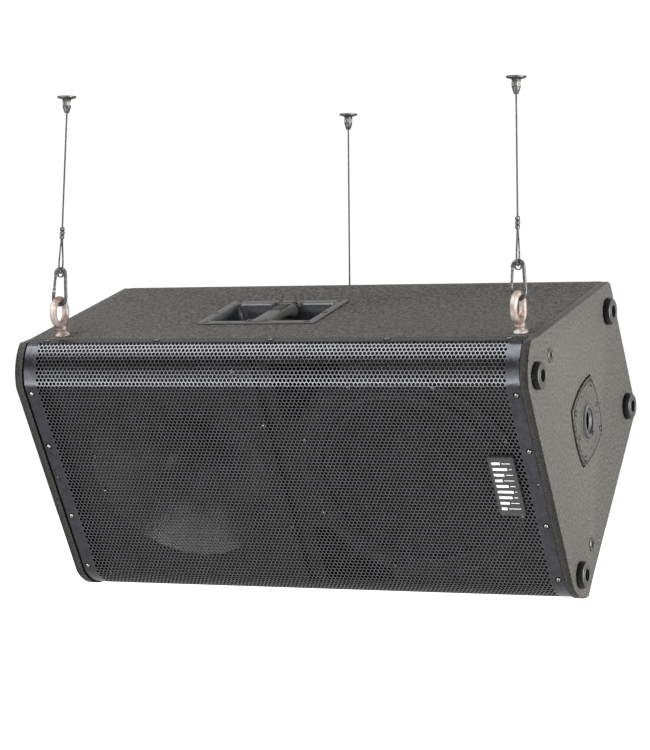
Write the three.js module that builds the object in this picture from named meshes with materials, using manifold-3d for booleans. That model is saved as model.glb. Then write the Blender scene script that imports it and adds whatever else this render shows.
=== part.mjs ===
// Two-way loudspeaker cabinet for stage use, hung on its side from three wire ropes and tilted down.
// Millimetres, +Z up. The origin is on the ceiling plane, straight above the middle of the grille.
// The cabinet is drawn in its own axes: x along its length, y from the grille to the back, z up the front.
import * as THREE from 'three';
import { mergeVertices } from 'three/addons/utils/BufferGeometryUtils.js';
import Module from 'manifold-3d';

const wasm = await Module();
wasm.setup();

const RAD = Math.PI / 180;
const GAP = 0.3; // clearance between pieces that meet face to face
const PAST = 10; // how far a cutting tool runs past the piece that it cuts

// Cabinet
const LENGTH = 900;
const DEPTH = 416;
const FRONT_HALF = 242; // half the width where the taper starts
const FRONT_EDGE = 49; // how far behind the grille face the taper starts
const TAPER = 17.45 * RAD; // slope of each long side towards the back
const CREASE = 187.5; // half the width of the flat grille face
const CREASE_START = 15 * RAD; // slope of the curved grille edge at the crease
const CREASE_END = 69 * RAD; // and where it meets the taper
const END_THICK = 14;
const END_PROUD = 3; // how far the end panels stand out past the grille
const END_FLUSH = 84; // how far behind the grille face they come flush with the long sides
const REAR_CHAMFER = 7;
const WALL = 15;
const DOWN_TILT = 33.2 * RAD;
const CEILING = 640; // height of the ceiling plane above the middle of the grille
const INNER_END = LENGTH / 2 - END_THICK;
const END_FACE = LENGTH / 2 + GAP; // where the fittings on the pole end rest

// Baffle, and the two ports cut through it
const BAFFLE_FRONT = 32;
const BAFFLE_BACK = 49.7;
const BAFFLE_HALF = 228;
const PORT_LEFT = 2;
const PORT_RIGHT = 125;
const PORT_LOW = 105;
const PORT_HIGH = 212;
const PORT_ROUND = 205; // radius of the port's edge that follows the woofer
const PORT_LONG = 120;
const PORT_SKIN = 5;

// Cross brace inside the cabinet
const BRACE_X = [-240, -176];
const BRACE_Y = [292, 310];

// Grille and badge
const GRILLE_SKIN = 1.5;
const GRILLE_END = INNER_END - 2;
const GRILLE_TAIL = 20; // the edge that is screwed down onto the long side
const GRILLE_PROUD = 1.9; // how far that edge stands off the long side
const BADGE_SIZE = [44, 110];
const BADGE_AT = [376, 7.5];
const BADGE_THICK = 4.7;

// Woofer
const WOOFER_X = 207;
const WOOFER_HOLE = 178;
const BASKET_BACK = 157;
const COIL_RADIUS = 50;
const COIL_SKIN = 1;
const COIL_BACK = 173;
const COIL_CLEAR = 3; // clear radius left round the voice coil
const COIL_SLOT = 190; // where the slot for the coil ends inside the magnet
const MAGNET_RADIUS = 90;
const MAGNET_BACK = 200;
const SPIDER_Y = 139.5;

// Horn and compression driver
const HORN_X = -208;
const HORN_HOLE = 168;
const HORN_PLATE_END = -25;
const HORN_PLATE_FRONT = 21.7;
const HORN_MOUTH = 163;
const HORN_THROAT = 19;
const HORN_THROAT_Y = 190;
const HORN_SKIN = 3;
const DRIVER_RADIUS = 66;
const DRIVER_FACE = 60; // radius of the flat faces at both ends of the driver
const DRIVER_LONG = 56;

// Feet and rigging inserts on the pole end: [y, z]
const FEET = [[33, 190], [33, -190], [374, 93], [374, -93]];
const FOOT_RADIUS = 22;
const RIGGING = [[104, 181.6], [104, -181.6]];
const INSERT_RADIUS = 7.3;
const INSERT_BORE = 4.3;
const INSERT_RIM = 11.5;

// Pole socket
const POLE_Y = 191;
const POLE_BORE = 18;
const POLE_LEAN = 3.75 * RAD;
const SOCKET_RADIUS = 28;
const SOCKET_DEEP = 82;
const CUP_RADIUS = 34;
const CUP_PLATE = 3;
const CUP_REACH = 52; // from the middle to each corner of the plate, along y and z
const CUP_BULGE = 9; // how far its sides stand out past straight lines

// Handle
const HANDLE_X = -74;
const HANDLE_ALONG = 191; // from the front edge, measured down the slope
const HANDLE_SIZE = [213, 146];
const HANDLE_RIM = 14;
const HANDLE_DEEP = 58;
const HANDLE_SKIN = 3;
const HANDLE_FLANGE = 2.5;
const BAR_HALF = 17;
const BAR_TOP = 6.5;
const BAR_UNDER = -15;

// Amplifier on the rear panel, with its sockets, switch and knobs in one row
const AMP_X = 170;
const AMP_SIZE = [300, 196];
const AMP_FACE = DEPTH + GAP;
const AMP_PLATE = 3;
const AMP_DEEP = 72;
const CONTROL_Z = -62;
const MAINS_X = 75;
const SWITCH_X = 112;
const INPUT_X = [150, 195];
const KNOB_X = [240, 275];

// Eyebolts: one at each end of the handle side, and one in the rear panel
const EYE_ALONG = 52;
const FRONT_EYES = { left: -397.5, right: 412.5 };
const REAR_EYE = { x: -80.3, z: -80 };
const EYE_RADIUS = 21.25; // middle of the ring's section
const EYE_SECTION = 5.75;
const EYE_HEIGHT = 40; // ring centre above the face that the eyebolt is screwed to
const EYE_SHANK = 5;

// Snap hooks, drawn upright with the eyebolt's ring section at the origin
const HOOK_ROD = 2.8;
const HOOK_BOTTOM = 11.7;
const HOOK_TOP = 9.1;
const HOOK_LENGTH = 66;
const BOW_Z = HOOK_BOTTOM - EYE_SECTION - HOOK_ROD - GAP;
const TOP_Z = BOW_Z + HOOK_LENGTH - 2 * HOOK_ROD - HOOK_BOTTOM - HOOK_TOP;
const NOSE_Z = 13;
const GATE_TOP_Z = 40;
const EYELET_BORE = 4;
const EYELET_HALF = 2.4;

// Wire ropes
const ROPE = 1.5; // rope radius
const FERRULE_START = 100; // height of the ferrule above the eyebolt's ring
const FERRULE_LENGTH = 20;
const CEILING_FITTING = 28;
const LEANS = { left: 2.5 * RAD, right: -0.7 * RAD, rear: -0.57 * RAD };

const texturedPaint = material('#3f3e3c', 0.75, 0.0);
const plywood = material('#3a3127', 0.85, 0.0);
const grillePaint = material('#26272a', 0.45, 0.6);
const moulding = material('#26272a', 0.6, 0.0);
const rubber = material('#1c1c1e', 0.8, 0.0);
const badgeMetal = material('#1b1c20', 0.3, 0.5);
const forgedSteel = material('#9b8c80', 0.6, 0.6);
const zincSteel = material('#5f5c59', 0.4, 0.9);
const paperCone = material('#232425', 0.9, 0.0);
const castAlloy = material('#4b4c4e', 0.55, 0.7);
const magnetSteel = material('#57585a', 0.5, 0.8);

function material(color, roughness, metalness) {
  return new THREE.MeshStandardMaterial({ color, roughness, metalness });
}

// ---------- geometry helpers ----------

function solid(geometry) {
  const bare = geometry.index ? geometry.toNonIndexed() : geometry.clone();
  bare.deleteAttribute('normal');
  bare.deleteAttribute('uv');
  const merged = mergeVertices(bare, 1e-4);
  return new wasm.Manifold(new wasm.Mesh({
    numProp: 3,
    vertProperties: merged.attributes.position.array,
    triVerts: new Uint32Array(merged.index.array),
  }));
}

function geometryOf(body) {
  const mesh = body.getMesh();
  const geometry = new THREE.BufferGeometry();
  geometry.setAttribute('position', new THREE.BufferAttribute(mesh.vertProperties, 3));
  geometry.setIndex(new THREE.BufferAttribute(mesh.triVerts, 1));
  geometry.computeVertexNormals();
  return geometry;
}

function join(...geometries) {
  return geometryOf(geometries.map(solid).reduce((whole, piece) => whole.add(piece)));
}

function cut(base, ...tools) {
  return geometryOf(tools.map(solid).reduce((whole, tool) => whole.subtract(tool), solid(base)));
}

function outline(points) {
  return new THREE.Shape(points.map(([u, v]) => new THREE.Vector2(u, v)));
}

function rectangle(width, height, centreU = 0, centreV = 0) {
  const [u, v] = [width / 2, height / 2];
  return outline([[-u, -v], [u, -v], [u, v], [-u, v]].map(([a, b]) => [a + centreU, b + centreV]));
}

// A shape in the y-z plane, drawn out along x. ExtrudeGeometry turns a clockwise outline round by itself.
function prismX(shape, fromX, toX) {
  const geometry = new THREE.ExtrudeGeometry(shape, { depth: toX - fromX, bevelEnabled: false });
  const axes = new THREE.Matrix4().makeBasis(
    new THREE.Vector3(0, 1, 0), new THREE.Vector3(0, 0, 1), new THREE.Vector3(1, 0, 0));
  return geometry.applyMatrix4(axes).translate(fromX, 0, 0);
}

// A shape in the x-z plane, drawn out along y.
function prismY(shape, fromY, toY) {
  const geometry = new THREE.ExtrudeGeometry(shape, { depth: toY - fromY, bevelEnabled: false });
  return geometry.rotateX(Math.PI / 2).translate(0, toY, 0);
}

function box(size, centre) {
  return new THREE.BoxGeometry(...size).translate(...centre);
}

// A turned piece about y: [radius, height] points that start and end on the axis or close on themselves.
function turned(profile, segments = 32) {
  const points = profile.map(([radius, height]) => new THREE.Vector2(radius, height));
  const onAxis = points[0].x === 0 && points.at(-1).x === 0;
  if (THREE.ShapeUtils.area(points) < 0) {
    points.reverse();
  }
  if (!onAxis) {
    points.push(points[0].clone());
  }
  return new THREE.LatheGeometry(points, segments);
}

function turnedX(profile, segments) {
  return turned(profile, segments).rotateZ(-Math.PI / 2);
}

function turnedZ(profile, segments) {
  return turned(profile, segments).rotateX(Math.PI / 2);
}

function roundBar(radius, from, to) {
  return [[0, from], [radius, from], [radius, to], [0, to]];
}

// A round rod along a list of points, with smooth bends.
function rod(points, radius, steps, sides = 8) {
  const stops = points.map((point) => new THREE.Vector3(...point));
  const path = new THREE.CatmullRomCurve3(stops, false, 'centripetal');
  const section = new THREE.Shape(Array.from({ length: sides }, (_, i) => {
    const angle = (2 * Math.PI * i) / sides;
    return new THREE.Vector2(radius * Math.cos(angle), radius * Math.sin(angle));
  }));
  return new THREE.ExtrudeGeometry(section, { steps, extrudePath: path, bevelEnabled: false });
}

function add(parent, name, geometry, look) {
  const mesh = new THREE.Mesh(geometry, look);
  mesh.name = name;
  parent.add(mesh);
}

// ---------- cabinet outline and frames ----------

// The curved grille edge from the crease to the taper, moved inwards by an offset.
function frontCurve(offset, steps = 8) {
  const chord = Math.hypot(FRONT_EDGE, FRONT_HALF - CREASE);
  const radius = chord / (2 * Math.sin((CREASE_END - CREASE_START) / 2));
  return Array.from({ length: steps + 1 }, (_, i) => {
    const slope = CREASE_START + ((CREASE_END - CREASE_START) * i) / steps;
    return [
      radius * Math.cos(CREASE_START) - (radius - offset) * Math.cos(slope),
      CREASE - radius * Math.sin(CREASE_START) + (radius - offset) * Math.sin(slope),
    ];
  });
}

function mirrored(points) {
  return points.map(([y, z]) => [y, -z]).reverse();
}

// Half the cabinet's width at a distance behind the grille face.
function halfWidth(y) {
  return FRONT_HALF - (y - FRONT_EDGE) * Math.tan(TAPER);
}

// The same inside the side panels, less a small clearance.
function innerHalf(y) {
  return halfWidth(y) - WALL / Math.cos(TAPER) - GAP;
}

const group = new THREE.Group();
const cabinet = new THREE.Group();
cabinet.rotation.x = DOWN_TILT;
cabinet.position.z = -CEILING;
group.add(cabinet);

// The long side that carries the handle: x along the cabinet, y down the slope, z out of the face.
const handleSide = new THREE.Group();
handleSide.position.set(0, FRONT_EDGE, FRONT_HALF);
handleSide.rotation.x = -TAPER;
cabinet.add(handleSide);

// Moves a shape drawn in the handle side's frame into the cabinet's.
function onHandleSide(geometry) {
  return geometry.rotateX(-TAPER).translate(0, FRONT_EDGE, FRONT_HALF);
}

// ---------- cabinet panels ----------

function endPanelOutline() {
  const half = frontCurve(-END_PROUD);
  const chamfer = DEPTH - REAR_CHAMFER;
  half.push(
    [END_FLUSH, halfWidth(END_FLUSH)], [chamfer, halfWidth(chamfer)],
    [DEPTH, halfWidth(DEPTH) - 0.8 * REAR_CHAMFER]);
  return outline([...mirrored(half), ...half].reverse());
}

function endPanels() {
  const [inner, outer] = [INNER_END, LENGTH / 2];
  add(cabinet, 'horn_end_panel', prismX(endPanelOutline(), -outer, -inner), texturedPaint);
  const hole = (radius, y, z, segments) =>
    turnedX(roundBar(radius + GAP, inner - PAST, outer + PAST), segments).translate(0, y, z);
  const bores = RIGGING.map(([y, z]) => hole(INSERT_RADIUS, y, z, 16));
  const panel = cut(prismX(endPanelOutline(), inner, outer), hole(CUP_RADIUS, POLE_Y, 0, 32), ...bores);
  add(cabinet, 'pole_end_panel', panel, texturedPaint);
}

function sidePanel(sign) {
  const frontEdge = BAFFLE_BACK + GAP;
  const rearEdge = DEPTH - WALL - GAP;
  const thick = WALL / Math.cos(TAPER);
  const corners = [
    [frontEdge, halfWidth(frontEdge)],
    [rearEdge, halfWidth(rearEdge)],
    [rearEdge, halfWidth(rearEdge) - thick],
    [frontEdge, halfWidth(frontEdge) - thick],
  ];
  return prismX(outline(corners.map(([y, z]) => [y, sign * z])), -INNER_END + GAP, INNER_END - GAP);
}

function sidePanels() {
  const [openX, openY] = HANDLE_SIZE.map((side) => side - 2 * HANDLE_RIM + 2 * GAP);
  const well = onHandleSide(box([openX, openY, 4 * WALL], [HANDLE_X, HANDLE_ALONG, 0]));
  const holes = Object.values(FRONT_EYES).map((x) =>
    onHandleSide(turnedZ(roundBar(EYE_SHANK + GAP, -4 * WALL, PAST), 16).translate(x, EYE_ALONG, 0)));
  add(cabinet, 'handle_side_panel', cut(sidePanel(1), well, ...holes), texturedPaint);
  add(cabinet, 'plain_side_panel', sidePanel(-1), texturedPaint);
}

function rearPanel() {
  const front = DEPTH - WALL;
  const bevel = 3;
  const half = [
    [front, halfWidth(front)], [DEPTH - bevel, halfWidth(DEPTH - bevel)], [DEPTH, halfWidth(DEPTH) - bevel],
  ];
  const plate = prismX(outline([...mirrored(half), ...half]), -INNER_END + GAP, INNER_END - GAP);
  const [openX, openZ] = AMP_SIZE.map((side) => side - 26);
  const ampHole = box([openX, 3 * WALL, openZ], [AMP_X, DEPTH, 0]);
  const eyeHole = turned(roundBar(EYE_SHANK + GAP, front - PAST, DEPTH + PAST), 16);
  eyeHole.translate(REAR_EYE.x, 0, REAR_EYE.z);
  add(cabinet, 'rear_panel', cut(plate, ampHole, eyeHole), texturedPaint);
}

// One port's air space, inset from its walls, on the side that the sign gives.
function portSolid(inset, fromY, toY, sign) {
  const [left, right] = [PORT_LEFT + inset, PORT_RIGHT - inset];
  const [low, high] = [PORT_LOW + inset, PORT_HIGH - inset];
  const radius = PORT_ROUND + inset;
  const start = Math.PI - Math.asin(low / radius);
  const end = Math.PI - Math.acos((WOOFER_X - right) / radius);
  const shape = new THREE.Shape();
  shape.moveTo(left, high);
  shape.lineTo(left, low);
  shape.lineTo(WOOFER_X + radius * Math.cos(start), low);
  shape.absarc(WOOFER_X, 0, radius, start, end, true);
  shape.lineTo(right, high);
  return prismY(outline(shape.getPoints(10).map(({ x, y }) => [x, sign * y])), fromY, toY);
}

function frontBaffle() {
  const plate = prismY(rectangle(2 * (INNER_END - GAP), 2 * BAFFLE_HALF), BAFFLE_FRONT, BAFFLE_BACK);
  const hole = (radius, x) =>
    turned(roundBar(radius, BAFFLE_FRONT - PAST, BAFFLE_BACK + PAST), 48).translate(x, 0, 0);
  const holes = [hole(HORN_HOLE, HORN_X), hole(WOOFER_HOLE, WOOFER_X)];
  for (const sign of [1, -1]) {
    holes.push(portSolid(-PORT_SKIN - GAP, BAFFLE_FRONT - PAST, BAFFLE_BACK + PAST, sign));
  }
  add(cabinet, 'front_baffle', cut(plate, ...holes), plywood);
}

// Everything beyond the inner face of a long side.
function beyondSide(sign) {
  const [front, back, far] = [BAFFLE_BACK, DEPTH, 2 * FRONT_HALF];
  const corners = [[front, innerHalf(front)], [back, innerHalf(back)], [back, far], [front, far]];
  return prismX(outline(corners.map(([y, z]) => [y, sign * z])), -INNER_END, INNER_END);
}

// Each port is a shelf port: further in, the long side of the cabinet closes it.
function ports() {
  for (const [name, sign] of [['upper', 1], ['lower', -1]]) {
    const back = BAFFLE_FRONT + PORT_LONG;
    const tube = cut(
      portSolid(-PORT_SKIN, BAFFLE_FRONT, back, sign),
      portSolid(0, BAFFLE_FRONT - PAST, back + PAST, sign),
      beyondSide(sign));
    add(cabinet, `port_tube_${name}`, tube, moulding);
  }
}

function crossBrace() {
  const corners = BRACE_Y.map((y) => [y, innerHalf(y)]);
  add(cabinet, 'cross_brace', prismX(outline([...mirrored(corners), ...corners]), ...BRACE_X), plywood);
}

// ---------- grille, badge, feet and rigging inserts ----------

function grille() {
  const rise = 1.6; // how far the curve's outer end stands off the end panels' curve
  const tail = FRONT_EDGE + GRILLE_TAIL;
  const half = (offset) => [
    ...frontCurve(offset).map(([y, z]) => [y, z + rise * (y / FRONT_EDGE)]),
    [tail, halfWidth(tail) + GRILLE_PROUD - offset],
  ];
  const outer = half(0);
  const inner = half(GRILLE_SKIN).reverse();
  const around = [...mirrored(outer), ...outer, ...inner, ...mirrored(inner)];
  add(cabinet, 'grille', prismX(outline(around), -GRILLE_END, GRILLE_END), grillePaint);
}

function badge() {
  const plate = prismY(rectangle(...BADGE_SIZE, ...BADGE_AT), -GAP - BADGE_THICK, -GAP);
  add(cabinet, 'badge', plate, badgeMetal);
}

function feet() {
  const high = END_FACE + 11.5;
  const floor = END_FACE + 4; // of the recess round the foot's screw
  const profile = [
    [0, END_FACE], [FOOT_RADIUS, END_FACE], [FOOT_RADIUS, END_FACE + 6.5], [FOOT_RADIUS - 2.5, high],
    [9, high], [6, floor], [0, floor],
  ];
  FEET.forEach(([y, z], i) => {
    add(cabinet, `foot_${i + 1}`, turnedX(profile, 24).translate(0, y, z), rubber);
  });
}

function riggingInserts() {
  const [rim, boreEnd, end] = [END_FACE + 1.5, END_FACE - 20, END_FACE - 26];
  const profile = [
    [0, boreEnd], [INSERT_BORE, boreEnd], [INSERT_BORE, rim], [INSERT_RIM, rim], [INSERT_RIM, END_FACE],
    [INSERT_RADIUS, END_FACE], [INSERT_RADIUS, end], [0, end],
  ];
  RIGGING.forEach(([y, z], i) => {
    add(cabinet, `rigging_insert_${i + 1}`, turnedX(profile, 16).translate(0, y, z), zincSteel);
  });
}

// ---------- pole socket ----------

// A square plate whose four sides bulge outwards.
function cupPlate() {
  const corners = [[1, 1], [-1, 1], [-1, -1], [1, -1]].map(([y, z]) =>
    new THREE.Vector2(y * CUP_REACH, z * CUP_REACH));
  const shape = new THREE.Shape([corners[0]]);
  corners.forEach((corner, i) => {
    const next = corners[(i + 1) % corners.length];
    const bend = corner.clone().add(next).setLength(CUP_REACH + 2 * CUP_BULGE);
    shape.quadraticCurveTo(bend.x, bend.y, next.x, next.y);
  });
  return prismX(shape, END_FACE, END_FACE + CUP_PLATE).translate(0, POLE_Y, 0);
}

function leaning(profile) {
  return turnedX(profile, 32).rotateZ(POLE_LEAN);
}

function poleSocket() {
  const cavity = leaning(roundBar(SOCKET_RADIUS + 0.5, -SOCKET_DEEP, 2 * PAST));
  const housing = turnedX(roundBar(CUP_RADIUS, END_FACE - SOCKET_DEEP - 4, END_FACE + 1), 32);
  const cup = cut(
    join(cupPlate(), housing.translate(0, POLE_Y, 0)),
    cavity.translate(END_FACE, POLE_Y, 0));
  add(cabinet, 'pole_cup_plate', cup, moulding);

  const insert = new THREE.Group();
  insert.position.set(END_FACE, POLE_Y, 0);
  cabinet.add(insert);
  const barrel = leaning(roundBar(SOCKET_RADIUS, 0.5 - SOCKET_DEEP, CUP_PLATE + 2.5));
  const mouth = POLE_BORE + 3;
  const bore = turnedX([
    [0, 8 - SOCKET_DEEP], [POLE_BORE, 8 - SOCKET_DEEP], [POLE_BORE, -2], [mouth, 1.5], [mouth, 12], [0, 12],
  ], 32);
  const tab = leaning(roundBar(4.5, 0, CUP_PLATE + 5)).translate(0, 0, 5 - SOCKET_RADIUS);
  add(insert, 'pole_cup_socket', join(cut(barrel, bore), cut(tab, bore)), castAlloy);
}

// ---------- handle ----------

function handle() {
  const [openX, openY] = HANDLE_SIZE.map((side) => side - 2 * HANDLE_RIM);
  const middle = (z) => [HANDLE_X, HANDLE_ALONG, z];
  const flange = box([...HANDLE_SIZE, HANDLE_FLANGE], middle(GAP + HANDLE_FLANGE / 2));
  const tub = box([openX, openY, HANDLE_DEEP + 1], middle((1 - HANDLE_DEEP) / 2));
  const hollow = box(
    [openX - 2 * HANDLE_SKIN, openY - 2 * HANDLE_SKIN, HANDLE_DEEP + PAST],
    middle(HANDLE_SKIN + (PAST - HANDLE_DEEP) / 2));
  add(handleSide, 'handle_cup', cut(join(flange, tub), hollow), moulding);

  const reach = openY / 2 - HANDLE_SKIN - GAP;
  const rest = HANDLE_FLANGE + 2 * GAP;
  const end = openY / 2 + 8;
  const half = [[reach, BAR_UNDER], [reach, rest], [end, rest], [end, rest + 2], [reach - 6, BAR_TOP]];
  const around = [...half, ...half.map(([y, z]) => [-y, z]).reverse()];
  const bar = outline(around.map(([y, z]) => [y + HANDLE_ALONG, z]));
  add(handleSide, 'handle_bar', prismX(bar, HANDLE_X - BAR_HALF, HANDLE_X + BAR_HALF), moulding);
}

// ---------- woofer ----------

function basket() {
  const seat = BAFFLE_FRONT - GAP;
  const [rim, mouth] = [194, 168.5];
  const wall = 5;
  const frame = turned([
    [mouth, seat - 8], [rim, seat - 8], [rim, seat], [mouth + 7.5, seat],
    [98, BASKET_BACK - 9], [98, BASKET_BACK], [62, BASKET_BACK], [62, BASKET_BACK - wall],
    [91, BASKET_BACK - wall], [91, BASKET_BACK - 2 * wall], [mouth, seat + 2],
  ], 28);
  const arms = 6;
  const windows = Array.from({ length: arms }, (_, i) =>
    box([60, 55, 62], [135, 96, 0]).rotateY((2 * Math.PI * i) / arms));
  return cut(frame, ...windows);
}

function magnet() {
  const front = BASKET_BACK + GAP;
  const [inside, outside] = [COIL_RADIUS - COIL_CLEAR, COIL_RADIUS + COIL_CLEAR];
  return turned([
    [0, front], [inside, front], [inside, COIL_SLOT], [outside, COIL_SLOT], [outside, front],
    [MAGNET_RADIUS, front], [MAGNET_RADIUS, MAGNET_BACK], [0, MAGNET_BACK],
  ], 32);
}

// The paper cone with its dust dome and the voice coil behind it, in one piece.
function cone() {
  const [capFront, capBack, capRadius] = [62, 79, 57];
  const [edge, lip, edgeFront] = [142, 149.5, 23.9];
  const dome = (lift) => [0, 1, 2, 3].map((i) =>
    [(capRadius * i) / 3, capFront + lift + (capBack - capFront) * (i / 3) ** 2]);
  const [coilIn, coilOut] = [COIL_RADIUS - COIL_SKIN / 2, COIL_RADIUS + COIL_SKIN];
  return turned([
    ...dome(0), [edge, edgeFront], [lip, edgeFront], [lip, edgeFront + 1.5], [edge + 1.5, edgeFront + 2.9],
    [coilOut, capBack + 8], [coilOut, COIL_BACK], [coilIn, COIL_BACK], [coilIn, capBack + 0.5],
    ...dome(1.8).slice(0, 3).reverse(),
  ], 28);
}

// The half roll that joins the cone's edge to the frame.
function surround() {
  const [middle, level, steps] = [159.4, 22.4, 5];
  const roll = (radius) => Array.from({ length: steps + 1 }, (_, i) => {
    const angle = (Math.PI * i) / steps;
    return [middle + radius * Math.cos(angle), level - radius * Math.sin(angle)];
  });
  return turned([
    [180, level + 1], [180, level], ...roll(9.9), [142, level], [142, level + 1.1], [150.6, level + 1.1],
    ...roll(8.6).reverse(), [168.2, level + 1],
  ], 28);
}

function spider() {
  const [inside, outside] = [COIL_RADIUS + 1.5, 94];
  const back = SPIDER_Y + 1.5;
  return turned([[inside, SPIDER_Y], [outside, SPIDER_Y], [outside, back], [inside, back]], 32);
}

function woofer() {
  const pieces = [
    ['woofer_basket', basket(), castAlloy],
    ['woofer_magnet', magnet(), magnetSteel],
    ['woofer_cone', cone(), paperCone],
    ['woofer_surround', surround(), rubber],
    ['woofer_spider', spider(), paperCone],
  ];
  for (const [name, geometry, look] of pieces) {
    add(cabinet, name, geometry.translate(WOOFER_X, 0, 0), look);
  }
}

// ---------- horn ----------

// The horn's flare from throat to mouth, moved outwards by an offset.
function flare(offset) {
  const steps = 8;
  const front = HORN_PLATE_FRONT - 1;
  return Array.from({ length: steps + 1 }, (_, i) => {
    const along = i / steps;
    const spread = 0.42 * along + 0.58 * along ** 2.6;
    return [
      HORN_THROAT + (HORN_MOUTH - HORN_THROAT) * spread + offset,
      HORN_THROAT_Y + (front - HORN_THROAT_Y) * along,
    ];
  });
}

function horn() {
  const plateBack = BAFFLE_FRONT - GAP;
  const left = -GRILLE_END + 4;
  const plate = box(
    [HORN_PLATE_END - left, plateBack - HORN_PLATE_FRONT, 2 * (BAFFLE_HALF - 8)],
    [(left + HORN_PLATE_END) / 2, (plateBack + HORN_PLATE_FRONT) / 2, 0]);
  const outside = flare(HORN_SKIN).map(([radius, y]) => [radius, Math.max(y, HORN_PLATE_FRONT)]);
  const bell = turned([[0, HORN_THROAT_Y - 0.01], ...outside, [0, HORN_PLATE_FRONT]], 28);
  const flange = turned(roundBar(DRIVER_FACE, HORN_THROAT_Y - 8, HORN_THROAT_Y), 32);
  const air = turned([[0, HORN_THROAT_Y + 2], ...flare(0), [0, HORN_PLATE_FRONT - 1]], 28);
  const bore = turned(roundBar(HORN_THROAT, HORN_THROAT_Y - PAST, HORN_THROAT_Y + PAST), 28);
  const [bellAt, flangeAt, airAt, boreAt] = [bell, flange, air, bore].map((piece) =>
    piece.translate(HORN_X, 0, 0));
  add(cabinet, 'horn', cut(join(plate, bellAt, flangeAt), airAt, boreAt), moulding);
}

function compressionDriver() {
  const [front, back] = [HORN_THROAT_Y + GAP, HORN_THROAT_Y + GAP + DRIVER_LONG];
  const bevel = DRIVER_RADIUS - DRIVER_FACE;
  const profile = [
    [0, front], [DRIVER_FACE, front], [DRIVER_RADIUS, front + bevel],
    [DRIVER_RADIUS, back - bevel], [DRIVER_FACE, back], [0, back],
  ];
  add(cabinet, 'compression_driver', turned(profile, 32).translate(HORN_X, 0, 0), magnetSteel);
}

// ---------- amplifier ----------

function amplifierPanel() {
  const [sizeX, sizeZ] = AMP_SIZE;
  const plate = box([sizeX, AMP_PLATE, sizeZ], [AMP_X, AMP_FACE + AMP_PLATE / 2, 0]);
  const fins = Array.from({ length: 12 }, (_, i) =>
    box([3, 16, 96], [AMP_X - 121 + 22 * i, AMP_FACE + 10, 36]));
  const roundHole = (x, radius) =>
    turned(roundBar(radius + GAP, AMP_FACE - PAST, AMP_FACE + PAST), 20).translate(x, 0, CONTROL_Z);
  const squareHole = (x, wide, high) =>
    box([wide + 2 * GAP, 2 * PAST, high + 2 * GAP], [x, AMP_FACE, CONTROL_Z]);
  return cut(
    join(plate, ...fins), squareHole(MAINS_X, 34, 26), squareHole(SWITCH_X, 22, 14),
    ...INPUT_X.map((x) => roundHole(x, 13)), ...KNOB_X.map((x) => roundHole(x, 3)));
}

function amplifierChassis() {
  const [outX, outZ] = AMP_SIZE.map((side) => side - 34);
  const skin = 3;
  const front = AMP_FACE - GAP;
  return cut(
    box([outX, AMP_DEEP, outZ], [AMP_X, front - AMP_DEEP / 2, 0]),
    box([outX - 2 * skin, AMP_DEEP, outZ - 2 * skin], [AMP_X, front - AMP_DEEP / 2 + skin, 0]));
}

function mainsInlet() {
  return cut(
    box([34, 26, 26], [MAINS_X, AMP_FACE - 9, CONTROL_Z]),
    box([26, 26, 18], [MAINS_X, AMP_FACE - 5, CONTROL_Z]));
}

function inputSocket(x) {
  const [back, floor, rim] = [AMP_FACE - 22, AMP_FACE - 16, AMP_FACE + 4];
  const profile = [[0, back], [13, back], [13, rim], [10, rim], [10, floor], [0, floor]];
  return turned(profile, 24).translate(x, 0, CONTROL_Z);
}

function levelKnob(x) {
  const [back, seat, top] = [AMP_FACE - 12, AMP_FACE + 4, AMP_FACE + 17];
  const body = turned([[0, back], [3, back], [3, seat], [8, seat], [7, top], [0, top]], 20);
  const pointer = box([1.6, 2, 6], [0, top, 4.2]);
  return cut(body, pointer).translate(x, 0, CONTROL_Z);
}

// A rocker that is pressed at its left end in the rest position.
function powerSwitch() {
  const back = AMP_FACE - 8;
  const rocker = outline([[-8.5, AMP_FACE + 1.6], [8.5, AMP_FACE + 4], [7.5, back], [-7.5, back]]);
  const wide = 13;
  const body = new THREE.ExtrudeGeometry(rocker, { depth: wide, bevelEnabled: false });
  return body.translate(SWITCH_X, 0, CONTROL_Z - wide / 2);
}

function amplifier() {
  add(cabinet, 'amplifier_panel', amplifierPanel(), castAlloy);
  add(cabinet, 'amplifier_chassis', amplifierChassis(), castAlloy);
  add(cabinet, 'mains_inlet', mainsInlet(), moulding);
  INPUT_X.forEach((x, i) => add(cabinet, `input_socket_${i + 1}`, inputSocket(x), moulding));
  KNOB_X.forEach((x, i) => add(cabinet, `level_knob_${i + 1}`, levelKnob(x), moulding));
  add(cabinet, 'power_switch', powerSwitch(), moulding);
}

// ---------- hanging gear ----------

function eyebolt() {
  const ring = new THREE.TorusGeometry(EYE_RADIUS, EYE_SECTION, 8, 18);
  ring.rotateY(Math.PI / 2).translate(0, 0, EYE_HEIGHT);
  const neck = EYE_HEIGHT - EYE_RADIUS;
  const base = turnedZ([
    [0, -30], [EYE_SHANK, -30], [EYE_SHANK, GAP], [13, GAP], [13, 7], [8, 11], [7, neck], [0, neck],
  ], 16);
  return join(ring, base);
}

// The ring's highest point in the hung position, from the frame that the eyebolt stands in.
function ringTop(frame, centre) {
  frame.updateWorldMatrix(true, false);
  return centre.applyMatrix4(frame.matrixWorld).add(new THREE.Vector3(0, 0, EYE_RADIUS));
}

// The left side of the hook is straight between the two round ends.
function leftSide(z) {
  const share = (z - BOW_Z) / (TOP_Z - BOW_Z);
  return -(HOOK_BOTTOM + (HOOK_TOP - HOOK_BOTTOM) * share);
}

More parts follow.
